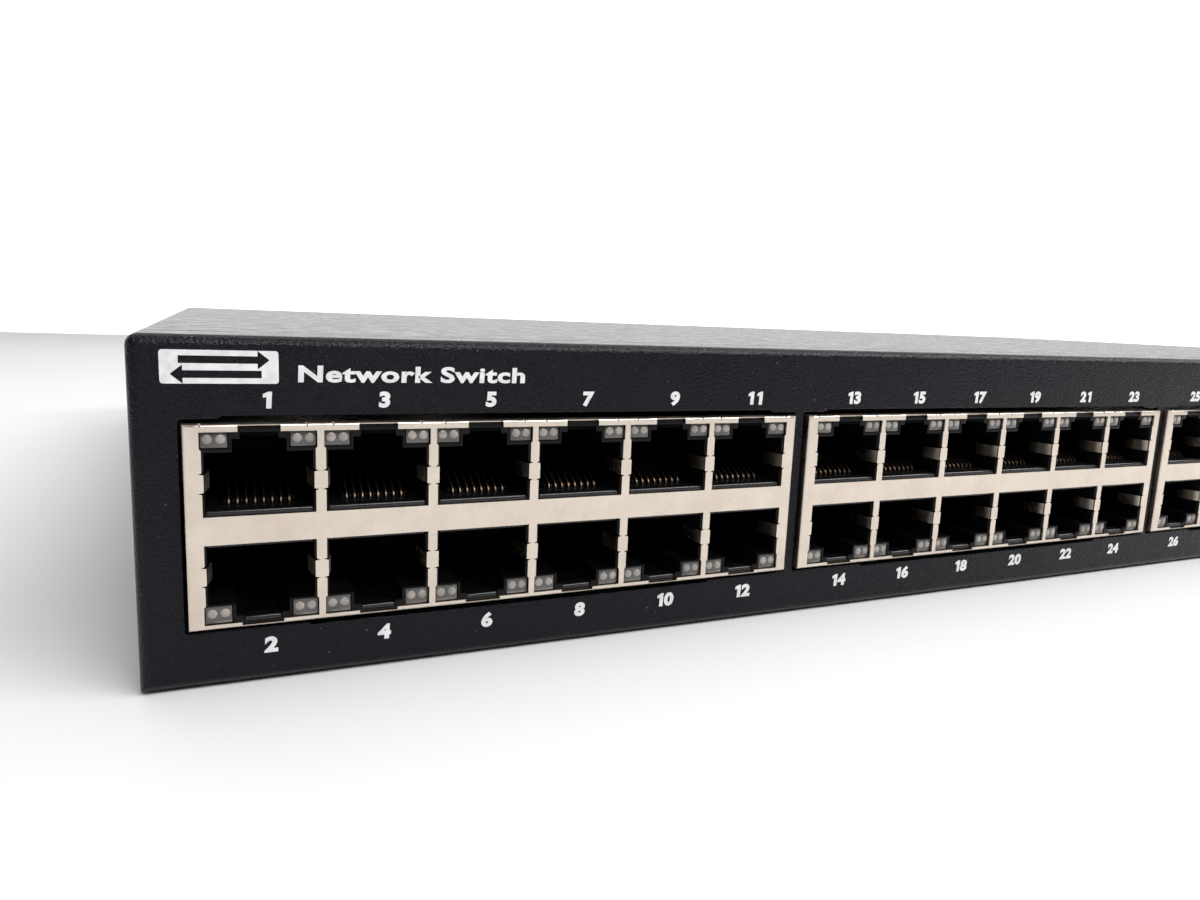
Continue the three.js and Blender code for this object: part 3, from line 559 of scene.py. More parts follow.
def top_cover():
    """The cover: a channel with bent edges, side vents and countersunk holes."""
    outer = [(LEFT, cover_low.z)] + rectangle((LEFT, RIGHT), (0, TOP), SIDE_BEND, 5)[6:18][::-1] + \
            [(RIGHT, cover_low.z)]
    inside = rectangle((LEFT + SHEET, RIGHT - SHEET), (0, TOP - SHEET), 0.4, 2)
    inner = [(RIGHT - SHEET, cover_low.z)] + inside[3:9] + [(LEFT + SHEET, cover_low.z)]
    shape = Shape().prism([outer + inner], "y", (cover_low.y, cover_high.y))
    cutter = Shape()
    for i in range(VENTS["count"]):
        middle = FRONT + VENTS["first"] + i * VENTS["pitch"]
        slot = rectangle(about(middle, VENTS["half"]), (VENTS["low"], VENTS["high"]), 1.9, 5)
        for side in (LEFT - 1, RIGHT - 2):
            cutter.prism([slot], "x", (side, side + 3))
    for back, z in EAR_HOLES:
        for side in (LEFT - 1, RIGHT - 2):
            cutter.prism([circle(FRONT + back, z, EAR_HOLE_RADIUS, 20)], "x", (side, side + 3))
    for name in SCREWS:
        low, high = node_box(name)
        left = low.x < 0
        face = LEFT if left else RIGHT
        cutter.lathe([(0, -0.01), (3.02, -0.01), (1.72, 1.02), (1.72, 1.6), (0, 1.6)],
                     "+x" if left else "-x", (face, (low.y + high.y) / 2, (low.z + high.z) / 2))
    heights = [z for _, z in EAR_HOLES] + [face_height(SCREWS[0])]
    mesh = soften(carve(split(shape.mesh(), (0, 0, 1), heights), cutter.mesh()), 0.2)
    piece("cover_sheet", mesh, [PAINT], nodes=["top_cover"], smooth=40, weighted=True)


REAR_HOLES = {
    "ac_inlet": (27.6, 20.2, 1.5),              # width, height and corner radius
    "redundant_supply_connector": (32, 15, 1.0),
    "console_port_shell": (17.6, 9.2, 1.5),
}
FANS = ["fan_frame_1", "fan_frame_2"]
GRILLE = {"radius": 17.5, "pitch": 3.9, "half": 1.2, "rows": 9}
FLANGE_HEIGHT = 14       # the floor's flanges inside the cover's sides


BOSSES = [(LEFT + x, FRONT + y) for x in (40, 150, 265, 400) for y in (62, 152)] + \
         [(LEFT + x, REAR - 40) for x in (320, 372, 426)]


def chassis_tray():
    """The floor with its side flanges, and the rear pan with its cut-outs and fan grilles."""
    through = (REAR - SHEET - 2, REAR + 2)
    cutter = Shape()
    for node, (width, height, corner) in REAR_HOLES.items():
        x, z = face_place(node)
        cutter.prism([rectangle((x - width / 2, x + width / 2), (z - height / 2, z + height / 2), corner)],
                     "y", through)
    for node in FANS:
        x, z = face_place(node)
        for row in range(GRILLE["rows"]):
            rise = (row - (GRILLE["rows"] - 1) / 2) * GRILLE["pitch"]
            half = math.sqrt(GRILLE["radius"] ** 2 - rise ** 2)
            cutter.prism([rectangle(about(x, half), about(z + rise, GRILLE["half"]),
                                    GRILLE["half"] - 0.05, 4)], "y", through)
    shape = Shape()
    middles = [face_place(node)[0] for node in [*REAR_HOLES, *FANS]]
    shape.bm.from_mesh(soften(carve(split(pan(1), (1, 0, 0), middles), cutter.mesh()), BURR))
    tongue(shape, 1)
    near = FRONT + RETURN + 0.3
    inside = RIGHT - SHEET - 0.3
    depth = (near, REAR - RETURN + 1)
    shape.block((-inside, inside), depth, (0, SHEET))
    for side in (-1, 1):
        shape.block(sorted((side * inside, side * (inside - SHEET))), depth, (0, FLANGE_HEIGHT))
    shape.block((LEFT + 20, RIGHT - 20), (FRONT + 3, near + 4), (SHEET + 0.3, 2 * SHEET + 0.3))
    for x, y in BOSSES:
        shape.lathe([(0, 0.5), (3.4, 0.5), (3.0, 3.0), (3.0, 5.3), (0, 5.3)], "+z", (x, y, 0), 20)
    piece("tray_sheet", shape, [PAINT], nodes=["chassis_tray"], smooth=40, weighted=True)


def cover_screws():
    """Countersunk screws with a cross recess, let in flush with the cover's sides."""
    for name in SCREWS:
        low, high = node_box(name)
        left = low.x < 0
        face = low.x if left else high.x
        place = (face, (low.y + high.y) / 2, (low.z + high.z) / 2)
        shape = Shape().lathe([(0, 0), (2.5, 0), (2.78, 0.08), (1.5, 1.0), (1.45, 4.3), (1.1, 4.5), (0, 4.5)],
                              "+x" if left else "-x", place, 28)
        turn = TURN["-x" if left else "+x"]
        mesh = shape.mesh()
        for angle in (0, math.pi / 2):
            across = Matrix.Translation(place) @ turn @ Matrix.Rotation(angle + 0.4, 4, "Z")
            arm = Shape().prism([rectangle((-1.5, 1.5), (-0.34, 0.34))], "z", (-0.8, 0.4), matrix=across)
            mesh = carve(mesh, arm.mesh())
        piece(name + "_head", mesh, [BLACK_ZINC], nodes=[name])


# ---------------------------------------------------------------- the modular jacks
# A port's section is drawn in (u, w): u across from the port's middle line, w from the jack's
# middle height towards the latch side, so the two rows are mirror images.
# Where the two rows' measures differ, 1 is the upper row and -1 the lower.
WINDOW_LOW = {1: 1.63, -1: 1.82}
WINDOW_HIGH = {1: 11.8, -1: 11.72}
LATCH_GAP = 2.4
LATCH_SILL = 11.15
LATCH_HIGH = {1: 12.62, -1: 12.08}
FINGER_LOW, FINGER_HIGH = 4.5, 6.85
LAMP_NEAR, LAMP_FAR = 3.42, 6.57
LAMP_LOW = {1: 9.85, -1: 9.55}
DOME_HEIGHT = {1: 10.92, -1: 10.45}
CAVITY = {"half": 6.1, "low": 1.7, "high": 9.3, "shoulder": 3.05, "shoulder_high": 10.9,
          "latch": 2.15, "latch_high": 11.7}
POCKET_HIGH = 11.75
SILL_HIGH = 2.3          # the rounded sill a plug rests on
LATCH_SILL_LENGTH = 2.4
SHELF_FRONT = 12.5       # depths behind the moulding's face
COMB_FRONT = 3.4


class Jack:
    """One ganged jack's places, from its CAD shield."""

    def __init__(self, name, count):
        low, high = node_box(name + "_shield")
        self.name = name
        self.x = (low.x, high.x)
        self.z = (low.z, high.z - 0.18)
        self.face, self.back = low.y, high.y
        self.middle = face_height(name + "_housing")
        first = low.x + SHIELD_MARGIN + PORT_WINDOW
        self.ports = [first + i * PORT_PITCH for i in range(count)]

    def outline(self, x, row, points):
        """Points in (u, w) as points in (x, z)."""
        return [(x + u, self.middle + row * w) for u, w in points]

    def height(self, row, low, high):
        return sorted((self.middle + row * low, self.middle + row * high))

    def each(self):
        return [(x, row) for row in (1, -1) for x in self.ports]


def mirrored(points):
    """A right-hand side, from bottom to top, with its mirror image to close the outline."""
    return points + [(-u, w) for u, w in reversed(points)]


def window_outline(row):
    """A port's window in its shield: slit for the spring fingers, and open to the latch."""
    low = WINDOW_LOW[row]
    slit = 0.13
    return mirrored([
        (PORT_WINDOW, low), (PORT_WINDOW, FINGER_LOW - slit), (PORT_WINDOW + 0.42, FINGER_LOW),
        (PORT_WINDOW - 0.18, FINGER_LOW + slit), (PORT_WINDOW - 0.18, FINGER_HIGH - slit),
        (PORT_WINDOW + 0.42, FINGER_HIGH), (PORT_WINDOW, FINGER_HIGH + slit),
        (PORT_WINDOW, LAMP_LOW[row] - 0.25), (PORT_WINDOW + 0.2, LAMP_LOW[row] - 0.05),
        (PORT_WINDOW + 0.2, WINDOW_HIGH[row]), (LATCH_GAP, WINDOW_HIGH[row]), (LATCH_GAP, LATCH_HIGH[row]),
    ])


def jack_shield(jack):
    """The tin-plated shield: a folded can with a pierced face, and two spring fingers a port."""
    def front_rim(middle):
        return middle.y < jack.face + 0.1

    can = Shape().block(jack.x, (jack.face, jack.back), jack.z, radius=0.34, segments=4, soft=front_rim)
    hollow = Shape().block((jack.x[0] + FOIL, jack.x[1] - FOIL), (jack.face + FOIL, jack.back - FOIL),
                           (jack.z[0] + FOIL, jack.z[1] - FOIL))
    can = carve(can.mesh(), hollow.mesh())
    cutter = Shape()
    for x, row in jack.each():
        window = jack.outline(x, row, window_outline(row))
        cutter.prism([window], "y", (jack.face - 1, jack.face + FOIL + 0.5))
    webs = [x + PORT_PITCH / 2 for x in jack.ports[:-1]]
    ends = [jack.ports[0] - PORT_WINDOW - 0.1, jack.ports[-1] + PORT_WINDOW + 0.1]
    for x in [web + side for web in webs for side in (-1.55, 1.55)] + ends:
        notch = [(x - 0.2, jack.z[1] + 0.2), (x + 0.2, jack.z[1] + 0.2), (x + 0.06, jack.z[1] - 0.34),
                 (x - 0.06, jack.z[1] - 0.34)]
        cutter.prism([notch], "y", (jack.face - 0.5, jack.face + 0.9))
    shape = Shape()
    shape.bm.from_mesh(soften(carve(split(can, (1, 0, 0), jack.ports), cutter.mesh()), 0.08, 2, 55))
    for x, row in jack.each():
        for side in (-1, 1):
            spring_finger(shape, jack, x, row, side)
    piece(jack.name + "_tin_shield", shape, [TIN], nodes=[jack.name + "_shield"], smooth=38,
          weighted=True)


def spring_finger(shape, jack, x, row, side):
    """A strip folded in from the window's edge, bowed towards the plug and back again."""
    path = [(6.42, 0.02), (6.30, 0.12), (6.16, 0.35), (5.98, 0.9), (5.82, 1.5), (5.66, 2.6), (5.6, 3.6),
            (5.72, 4.6)]
    thick = 0.18
    outline = [(x + side * u, jack.face + y) for u, y in path] + \
              [(x + side * (u + thick), jack.face + y + 0.02) for u, y in reversed(path)]
    shape.prism([outline], "z", jack.height(row, FINGER_LOW + 0.16, FINGER_HIGH - 0.16), edge=0.02)


def jack_housing(jack):
    """The black moulding behind the face: stepped plug cavities, lamp pockets, sills and combs."""
    front = jack.face + FOIL + 0.05
    inset = FOIL + 0.1
    body = Shape()
    outer = rectangle((jack.x[0] + inset, jack.x[1] - inset), (jack.z[0] + inset, jack.z[1] - inset))
    holes = []
    half, shoulder, latch = CAVITY["half"], CAVITY["shoulder"], CAVITY["latch"]
    finger = (FINGER_LOW - 0.15, FINGER_HIGH + 0.15)
    cavity = mirrored([
        (half, CAVITY["low"]), (half, finger[0]), (half + 0.4, finger[0]), (half + 0.4, finger[1]),
        (half, finger[1]), (half, CAVITY["high"]), (shoulder, CAVITY["high"]),
        (shoulder, CAVITY["shoulder_high"]), (latch, CAVITY["shoulder_high"]), (latch, CAVITY["latch_high"])])
    for x, row in jack.each():
        holes.append(jack.outline(x, row, cavity))
        for side in (-1, 1):
            pocket = rectangle((LAMP_NEAR, LAMP_FAR - 0.02), (LAMP_LOW[row] - 0.06, POCKET_HIGH))
            holes.append(jack.outline(x, row, [(side * u, w) for u, w in pocket]))
    body.prism([outer] + holes, "y", (front, front + PORT_DEPTH), edge=0.08)
    # The back of the moulding takes the darker copy of its plastic, as painted shade.
    body.prism([outer], "y", (front + PORT_DEPTH - 0.1, front + HOUSING_DEPTH), slot=1)
    for x, row in jack.each():
        across = (x - half - 0.1, x + half + 0.1)
        # Sills in the lighter, glossier copy: a painted highlight.
        body.block(across, (front + 0.1, front + PORT_DEPTH),
                   jack.height(row, CAVITY["low"] - 0.4, SILL_HIGH), radius=0.32, segments=4, slot=2)
        # Latch sills: the lower row's, facing up, in the lighter copy as a painted highlight; the upper
        # row's, facing down, in the darker copy as painted shade.
        body.block((x - latch - 0.1, x + latch + 0.1), (front + 0.1, front + LATCH_SILL_LENGTH),
                   jack.height(row, LATCH_SILL, 12.0), radius=0.3, segments=4, slot=2 if row < 0 else 1)
        # The shelf behind the wires, in the darker copy as painted shade.
        body.block(across, (front + SHELF_FRONT, front + PORT_DEPTH),
                   jack.height(row, 7.9, CAVITY["high"] + 0.2), radius=0.2, slot=1)
        for tooth in range(WIRES_PER_PORT + 1):
            middle = x + (tooth - WIRES_PER_PORT / 2) * WIRE_PITCH
            body.block(about(middle, 0.22), (front + COMB_FRONT, front + PORT_DEPTH),
                       jack.height(row, 2.0, 2.9), radius=0.08, segments=1)
    piece(jack.name + "_moulding", body, [PLASTIC, PAINTED_SHADE_PLASTIC, PAINTED_HIGHLIGHT_PLASTIC],
          nodes=[jack.name + "_housing"])


def jack_wires(jack):
    """Eight gold spring wires a port, rising back from behind the sill, and their carrier."""
    front = jack.face + FOIL + 0.05
    low, high = node_box(jack.name + "_contacts")
    profile = [(3.0, 2.35), (3.1, 2.75), (3.5, 3.15), (5.2, 4.0), (8.0, 5.5), (11.5, 7.2), (14.4, 7.9)]
    paths = []
    for x, row in jack.each():
        for i in range(WIRES_PER_PORT):
            across = x + (i - (WIRES_PER_PORT - 1) / 2) * WIRE_PITCH
            paths.append([(across, front + y, jack.middle + row * w) for y, w in profile])
    # The wires take the darkened gold and their carrier the darker plastic copy, both as painted shade.
    shape = Shape().rods(paths, WIRE_RADIUS)
    shape.block((low.x, high.x), (front + HOUSING_DEPTH + 0.2, high.y), (jack.middle - 9, jack.middle + 9),
                radius=0.4, slot=1)
    piece(jack.name + "_spring_wires", shape, [SHADE_DARKENED_GOLD, PAINTED_SHADE_PLASTIC], nodes=[jack.name + "_contacts"])


def jack_lamps(jack, row, label):
    """One row of lamp lenses: a milky block each side of every latch, with two round lenses on it."""
    front = jack.face + FOIL + 0.12
    node = f"{jack.name}_{label}_light_pipe"
    low, high = node_box(node)
    shape = Shape()
    for x in jack.ports:
        for side in (-1, 1):
            span = sorted((x + side * (LAMP_NEAR + 0.08), x + side * (LAMP_FAR - 0.08)))
            shape.block(span, (front, high.y - 1.2), jack.height(row, LAMP_LOW[row], 11.7),
                        radius=0.12, segments=2)
            for offset in (-0.73, 0.73):
                centre = (sum(span) / 2 + offset, front, jack.middle + row * DOME_HEIGHT[row])
                shape.lathe([(0, 0.17), (0.22, 0.16), (0.42, 0.12), (0.55, 0.05), (0.6, -0.1), (0, -0.1)],
                            "-y", centre, 20, slot=1)
    shape.block((low.x, high.x), (high.y - 2, high.y), (low.z, high.z), radius=0.2)
    piece(f"{jack.name}_{label}_lamps", shape, [LENS, LENS_DOT], nodes=[node])


# ---------------------------------------------------------------- fibre cages, lamps and buttons
def sfp_cage():
    """The stacked cage: two slots, with a ring of grounding fingers round its mouth."""
    low, high = node_box("sfp_cage")
    middle_x, middle_z = face_place("sfp_cage")
    slots = [rectangle(about(middle_x, 7.1), (middle_z + a, middle_z + b), 0.2, 2)
             for a, b in ((1, 11.2), (-11.2, -1))]
    shape = Shape().prism([rectangle((low.x, high.x), (low.z, high.z), 0.3, 3)] + slots, "y", (low.y, high.y),
                          edge=0.06)
    finger = [(0, 0), (0.28, 0.4), (0.3, 1.2), (0.05, 2.6), (0, 2.6)]
    for i in range(5):
        x = low.x + 0.6 + i * 2.85
        for z, side in ((high.z, 1), (low.z, -1)):
            outline = [(low.y + 0.2 + y, z + side * (rise - 0.02)) for rise, y in finger]
            shape.prism([outline], "x", (x, x + 2.4))
    for i in range(8):
        z = low.z + 0.6 + i * 2.85
        for x, side in ((high.x, 1), (low.x, -1)):
            outline = [(x + side * (rise - 0.02), low.y + 0.2 + y) for rise, y in finger]
            shape.prism([outline], "z", (z, z + 2.4))
    for z in (middle_z + 1.4, middle_z - 1.4):
        shape.block(about(middle_x, 2.2), (low.y + 2, low.y + 9), about(z, 0.15), radius=0.1)
    piece("sfp_cage_sheet", shape, [TIN], nodes=["sfp_cage"], smooth=40)


def status_lamps():
    """Domed ends of the light pipe, standing in the panel's round holes."""
    low, high = node_box("status_light_pipe")
    shape = Shape()
    for x, z in STATUS_LAMPS:
        shape.lathe([(0, -0.25), (0.5, -0.2), (0.82, -0.02), (0.95, 0.25), (0.95, high.y - low.y - 1),
                     (0, high.y - low.y - 1)], "+y", (x, low.y + 0.25, z), 20)
    shape.block((low.x, high.x), (high.y - 2, high.y), (low.z, high.z), radius=0.5)
    piece("status_lamp_domes", shape, [LENS_DOT], nodes=["status_light_pipe"])


def buttons():
    """The stack button's dished cap and the recessed reset button."""
    low, high = node_box("stack_button")
    x, z = face_place("stack_button")
    shape = Shape().lathe([(0, 0.22), (1.4, 0.12), (2.1, 0.0), (2.42, 0.06), (2.58, 0.25), (2.6, 0.6),
                           (2.6, high.y - low.y), (0, high.y - low.y)], "+y", (x, low.y, z), 40)
    shape.block((low.x, high.x), (high.y - 2.4, high.y), (low.z, high.z), radius=0.3)
    piece("stack_button_key", shape, [BUTTON_GREY], body="stack_button_cap", nodes=["stack_button"])
    low, high = node_box("reset_button")
    x, z = face_place("reset_button")
    length = high.y - low.y
    shape = Shape().lathe([(0, 0), (0.8, 0), (1.2, 0.1), (1.5, 0.5), (1.5, length), (0, length)],
                          "+y", (x, low.y, z), 28)
    piece("reset_button_key", shape, [BUTTON_GREY], body="reset_button_cap", nodes=["reset_button"])


# ---------------------------------------------------------------- printing on the panel
PRINT_STAND_OFF = 0.03
INK_THICKNESS = 0.01
BARE_CAPITAL = 0.682     # a capital's height in the built-in font, per unit of size


def printed(shape, text, x, z, height, align="CENTER", weight=0.026, slant=0.0, stretch=1.0, spacing=1.0,
            rear=False):
    """Lettering in the built-in font, laid on the front or the rear face. z is its base line."""
    curve = bpy.data.curves.new("print", "FONT")
    curve.body = text
    curve.align_x = align
    curve.size = 1
    curve.offset = weight
    curve.shear = slant
    curve.resolution_u = 4
    curve.space_character = spacing
    scale = height / (BARE_CAPITAL + 2 * weight)
    face = REAR + PRINT_STAND_OFF if rear else FRONT - PRINT_STAND_OFF
    turn = Matrix.Rotation(math.pi, 4, "Z") if rear else Matrix.Identity(4)
    upright = turn @ Matrix.Rotation(math.pi / 2, 4, "X") @ Matrix.Diagonal((scale * stretch, scale, 1, 1))
    shape.take(curve_mesh(curve), Matrix.Translation((x, face, z + weight * scale)) @ upright, 0)


def flat_print(shape, loops):
    """A flat printed outline, and the holes in it, on the panel's face."""
    shape.prism(loops, "y", (FRONT - PRINT_STAND_OFF - INK_THICKNESS, FRONT - PRINT_STAND_OFF))


NUMERAL_SHIFT = 0.85     # the numerals stand a little to the right of their ports
NUMERAL_SLANT = 0.05
UPPER_NUMERAL = {"base": 34.3, "height": 2.02}
LOWER_NUMERAL = {"base": 3.55, "height": 2.05}


def numeral(shape, number, x, base, height):
    """A bold slanted numeral: a flagged stem for each 1, and the built-in font for the rest."""
    digits = str(number)
    advance = 0.78 * height
    for i, digit in enumerate(digits):
        middle = x + (i - (len(digits) - 1) / 2) * advance
        if digit == "1":
            stem = [(-0.1, 0), (0.2, 0), (0.2, 1), (0.0, 1), (-0.3, 0.86), (-0.3, 0.64), (-0.1, 0.68)]
            flat_print(shape, [[(middle + (a + b * NUMERAL_SLANT + 0.1) * height, base + b * height)
                                for a, b in stem]])
        else:
            printed(shape, digit, middle, base, height, weight=0.055, slant=NUMERAL_SLANT, stretch=1.16)


def arrow(x, z, length, half, way):
    """A block arrow that points right (1) or left (-1) from x."""
    head = half * 2.4
    points = [(0, -half * 0.8), (length - head, -half * 0.8), (length - head, -half * 2), (length, 0),
              (length - head, half * 2), (length - head, half * 0.8), (0, half * 0.8)]
    return [(x + way * a, z + b) for a, b in points]


def legends():
    """Port numerals, a plate with two opposed arrows let into it, and plain generic words."""
    shape = Shape()
    number = 1
    for name, count in JACKS.items():
        for x in Jack(name, count).ports:
            numeral(shape, number, x + NUMERAL_SHIFT, **UPPER_NUMERAL)
            numeral(shape, number + 1, x + NUMERAL_SHIFT, **LOWER_NUMERAL)
            number += 2
    x, _ = face_place("sfp_cage")
    numeral(shape, number, x, **UPPER_NUMERAL)
    numeral(shape, number + 1, x, **LOWER_NUMERAL)
    plate = rectangle((LEFT + 3.45, LEFT + 16.2), (37.25, 41.15), 0.35, 4)
    arrows = [arrow(LEFT + 5.4, 40.05, 9.8, 0.55, 1), arrow(LEFT + 14.3, 38.35, 9.8, 0.55, -1)]
    flat_print(shape, [plate, *arrows])
    printed(shape, "Network Switch", LEFT + 18.2, 37.45, 2.05, align="LEFT", weight=0.035, slant=0.03,
            stretch=1.5, spacing=1.07)
    for i, (x, z) in enumerate(UNIT_LAMPS):
        printed(shape, str(i + 1), x + 2.6, z - 0.6, 1.2)
    piece("front_legends", shape, [INK])


# ---------------------------------------------------------------- rear fittings
def pan_screw(shape, x, z, radius=2.3):
    """A pan-head screw on the rear face, with a shallow round dimple."""
    shape.lathe([(0, 0.7), (radius * 0.42, 0.7), (radius * 0.5, 1.5), (radius * 0.72, 1.45),
                 (radius * 0.93, 1.1), (radius, 0.55), (radius, 0), (0, 0)], "+y", (x, REAR + 0.02, z), 28)


def ac_inlet():
    """The appliance inlet: a flanged well with two cut corners, and three blades."""
    low, high = node_box("ac_inlet")
    x, z = face_place("ac_inlet")
    corner = 4
    well = [(x - 12, z + 8.2), (x - 12, z - 8.2 + corner), (x - 12 + corner, z - 8.2),
            (x + 12 - corner, z - 8.2), (x + 12, z - 8.2 + corner), (x + 12, z + 8.2)]
    shape = Shape()
    flange = rectangle((low.x, high.x), (low.z, high.z), 2.5, 5)
    shape.prism([flange, well], "y", (REAR + 0.1, high.y), edge=0.3)
    shape.prism([rectangle(about(x, 13.5), about(z, 9.8), 1.2, 3), well], "y", (low.y + 3, REAR + 0.5))
    shape.block(about(x, 13.5), (low.y, low.y + 4), about(z, 9.8), radius=0.5)
    piece("ac_inlet_moulding", shape, [PLASTIC], nodes=["ac_inlet"])
    for name in ("line", "neutral", "earth"):
        node = f"ac_inlet_{name}_blade"
        low, high = node_box(node)
        blade = Shape().block(*zip(low, high), radius=0.45, segments=3)
        piece(node + "_plated", blade, [NICKEL], nodes=[node])


def redundant_supply_connector():
    """The redundant-supply receptacle: a shroud over two rows of contact posts."""
    low, high = node_box("redundant_supply_connector")
    x, z = face_place("redundant_supply_connector")
    shape = Shape()
    shape.prism([rectangle((low.x, high.x), (low.z, high.z), 0.8, 3),
                 rectangle(about(x, 14.6), about(z, 5.2), 0.5, 3)], "y", (REAR - 9, high.y), edge=0.2)
    shape.block((low.x, high.x), (low.y, REAR - 8.8), (low.z, high.z), radius=0.4)
    for column in range(7):
        for row in (-1, 1):
            middle = (x + (column - 3) * 4.1, z + row * 2.4)
            shape.prism([rectangle(about(middle[0], 1.7), about(middle[1], 1.9), 0.3, 2),
                         rectangle(about(middle[0], 1.2), about(middle[1], 1.4), 0.2, 2)],
                        "y", (REAR - 9, REAR - 5.2), edge=0.06)
            shape.block(about(middle[0], 0.5), (REAR - 10, REAR - 5), about(middle[1], 0.5),
                        radius=0.15, slot=1)
    piece("redundant_supply_moulding", shape, [PLASTIC, SHADE_DARKENED_GOLD], nodes=["redundant_supply_connector"])


def d_outline(x, z, half_width, half_height):
    slant = half_height * 0.35
    return [(x - half_width, z + half_height), (x - half_width + slant, z - half_height),
            (x + half_width - slant, z - half_height), (x + half_width, z + half_height)]


def console_port():
    """A nine-pin serial port: a D-shaped shell with two jack posts, round a pin block."""
    low, high = node_box("console_port_shell")
    x, z = face_place("console_port_shell")
    shape = Shape()
    shape.prism([rectangle((low.x, high.x), (low.z, high.z), 1.5, 4), d_outline(x, z, 7.9, 3.7)],
                "y", (low.y, REAR - 1.2), edge=0.1)
    shape.prism([d_outline(x, z, 8.5, 4.2), d_outline(x, z, 7.9, 3.7)], "y", (REAR - 2, high.y), edge=0.12)
    piece("console_shell_plated", shape, [NICKEL], nodes=["console_port_shell"])
    low, high = node_box("console_port_insert")
    insert = Shape().prism([d_outline(x, z, 7.6, 3.4)], "y", (low.y, REAR + 0.2), edge=0.1)
    for i in range(9):
        column = i - 2 if i < 5 else i - 6.5
        centre = (x + column * 2.77, REAR, z + (1.42 if i < 5 else -1.42))
        insert.lathe([(0.5, 0), (0.5, 3.1), (0.3, 3.5), (0, 3.6)], "+y", centre, 14, slot=1)
    piece("console_pin_block", insert, [PLASTIC, SHADE_DARKENED_GOLD], nodes=["console_port_insert"])
    posts = Shape()
    for side in (-12.5, 12.5):
        hexagon = circle(x + side, z, 2.7, 6)
        posts.prism([hexagon, circle(x + side, z, 1.3, 18)], "y", (REAR + 0.05, REAR + 3.6), edge=0.15)
    piece("console_jack_posts", posts, [NICKEL])


def rear_screws():
    """Pan-head screws that hold the fans and the inlet to the rear face."""
    shape = Shape()
    for node in FANS:
        x, z = face_place(node)
        for dx in (-FAN_SCREW, FAN_SCREW):
            for dz in (-FAN_SCREW, FAN_SCREW):
                pan_screw(shape, x + dx, z + dz)
    x, z = face_place("redundant_supply_connector")
    for side in (-19.5, 19.5):
        pan_screw(shape, x + side, z)
    piece("rear_screws", shape, [BLACK_ZINC])


def rear_legends():
    """Plain words beside the rear connectors."""
    shape = Shape()
    for text, node, shift, base, height in (("CONSOLE", "console_port_shell", 0, 10.4, 2.0),
                                            ("DC IN", "redundant_supply_connector", 0, 8.2, 2.0),
                                            ("AC", "ac_inlet", 20.5, 19.6, 2.2)):
        printed(shape, text, face_place(node)[0] + shift, base, height, rear=True)
    piece("rear_legends", shape, [INK])


# ---------------------------------------------------------------- fans
FAN_BORE = 18.8
FAN_HUB = 10.5
FAN_BLADES = 7
FAN_SCREW = 16           # a fan's screws stand this far each side of its middle
BLADE_ROWS, BLADE_COLUMNS = 6, 8
BLADE = {"tip": 17.5, "root": FAN_HUB - 0.4, "chord": 10.5, "half_thick": 0.45, "bow": 0.9, "sweep": 0.24,
         "root_pitch": 46, "washout": 14}


def fan_frame(number):
    """The fan's square frame, with a round throat, corner holes and a motor cup on three struts."""
    node = f"fan_frame_{number}"
    low, high = node_box(node)
    x, z = face_place(node)
    corners = [circle(x + dx, z + dz, 1.7, 16) for dx in (-FAN_SCREW, FAN_SCREW)
               for dz in (-FAN_SCREW, FAN_SCREW)]
    shape = Shape().prism([rectangle((low.x, high.x), (low.z, high.z), 3, 5), circle(x, z, FAN_BORE, 56)] +
                          corners, "y", (low.y, high.y), edge=0.4)
    shape.lathe([(0, -3), (FAN_HUB - 0.6, -3), (FAN_HUB, -2.4), (FAN_HUB, -0.5), (FAN_HUB - 0.5, 0), (0, 0)],
                "+y", (x, high.y, z), 40)
    for i in range(3):
        turn = Matrix.Translation((x, high.y - 1.4, z)) @ Matrix.Rotation(i * math.pi / 3, 4, "Y")
        shape.block((-FAN_BORE - 0.5, FAN_BORE + 0.5), (-1.2, 1.2), (-1.1, 1.1), radius=0.4, matrix=turn)
    piece(f"fan_{number}_moulding", shape, [PLASTIC], nodes=[node])


def blade_point(share, chord, thick, turn):
    """A point of a blade, as (radius, angle, distance along the axis), from root (0) to tip (1)."""
    radius = BLADE["root"] + (BLADE["tip"] - BLADE["root"]) * share
    pitch = math.radians(BLADE["root_pitch"] - BLADE["washout"] * share)
    bow = BLADE["bow"] * (1 - 4 * chord * chord)
    along = chord * BLADE["chord"] * math.cos(pitch) + bow * 0.4
    around = chord * BLADE["chord"] * math.sin(pitch) + thick * (1 - abs(chord)) + bow * 0.5
    return radius, around / radius + BLADE["sweep"] * share ** 1.5 + turn, along


def fan_blade(x, y, z, turn):
    """One swept, twisted blade as a closed mesh, its two skins joined round the rim."""
    part = bmesh.new()
    skins = []
    for thick in (-BLADE["half_thick"], BLADE["half_thick"]):
        skin = []
        for i in range(BLADE_ROWS + 1):
            line = []
            for j in range(BLADE_COLUMNS + 1):
                radius, angle, along = blade_point(i / BLADE_ROWS, j / BLADE_COLUMNS - 0.5, thick, turn)
                place = (x + radius * math.cos(angle), y + along, z + radius * math.sin(angle))
                line.append(part.verts.new(place))
            skin.append(line)
        skins.append(skin)
    near, far = skins
    for i in range(BLADE_ROWS):
        for j in range(BLADE_COLUMNS):
            part.faces.new((near[i][j], near[i][j + 1], near[i + 1][j + 1], near[i + 1][j]))
            part.faces.new((far[i][j], far[i + 1][j], far[i + 1][j + 1], far[i][j + 1]))
    rows, columns = BLADE_ROWS, BLADE_COLUMNS
    rim = [(i, 0) for i in range(rows)] + [(rows, j) for j in range(columns)] + \
          [(i, columns) for i in range(rows, 0, -1)] + [(0, j) for j in range(columns, 0, -1)]
    for (a, b), (c, d) in zip(rim, rim[1:] + rim[:1]):
        part.faces.new((near[a][b], near[c][d], far[c][d], far[a][b]))
    return finished(part, "blade")


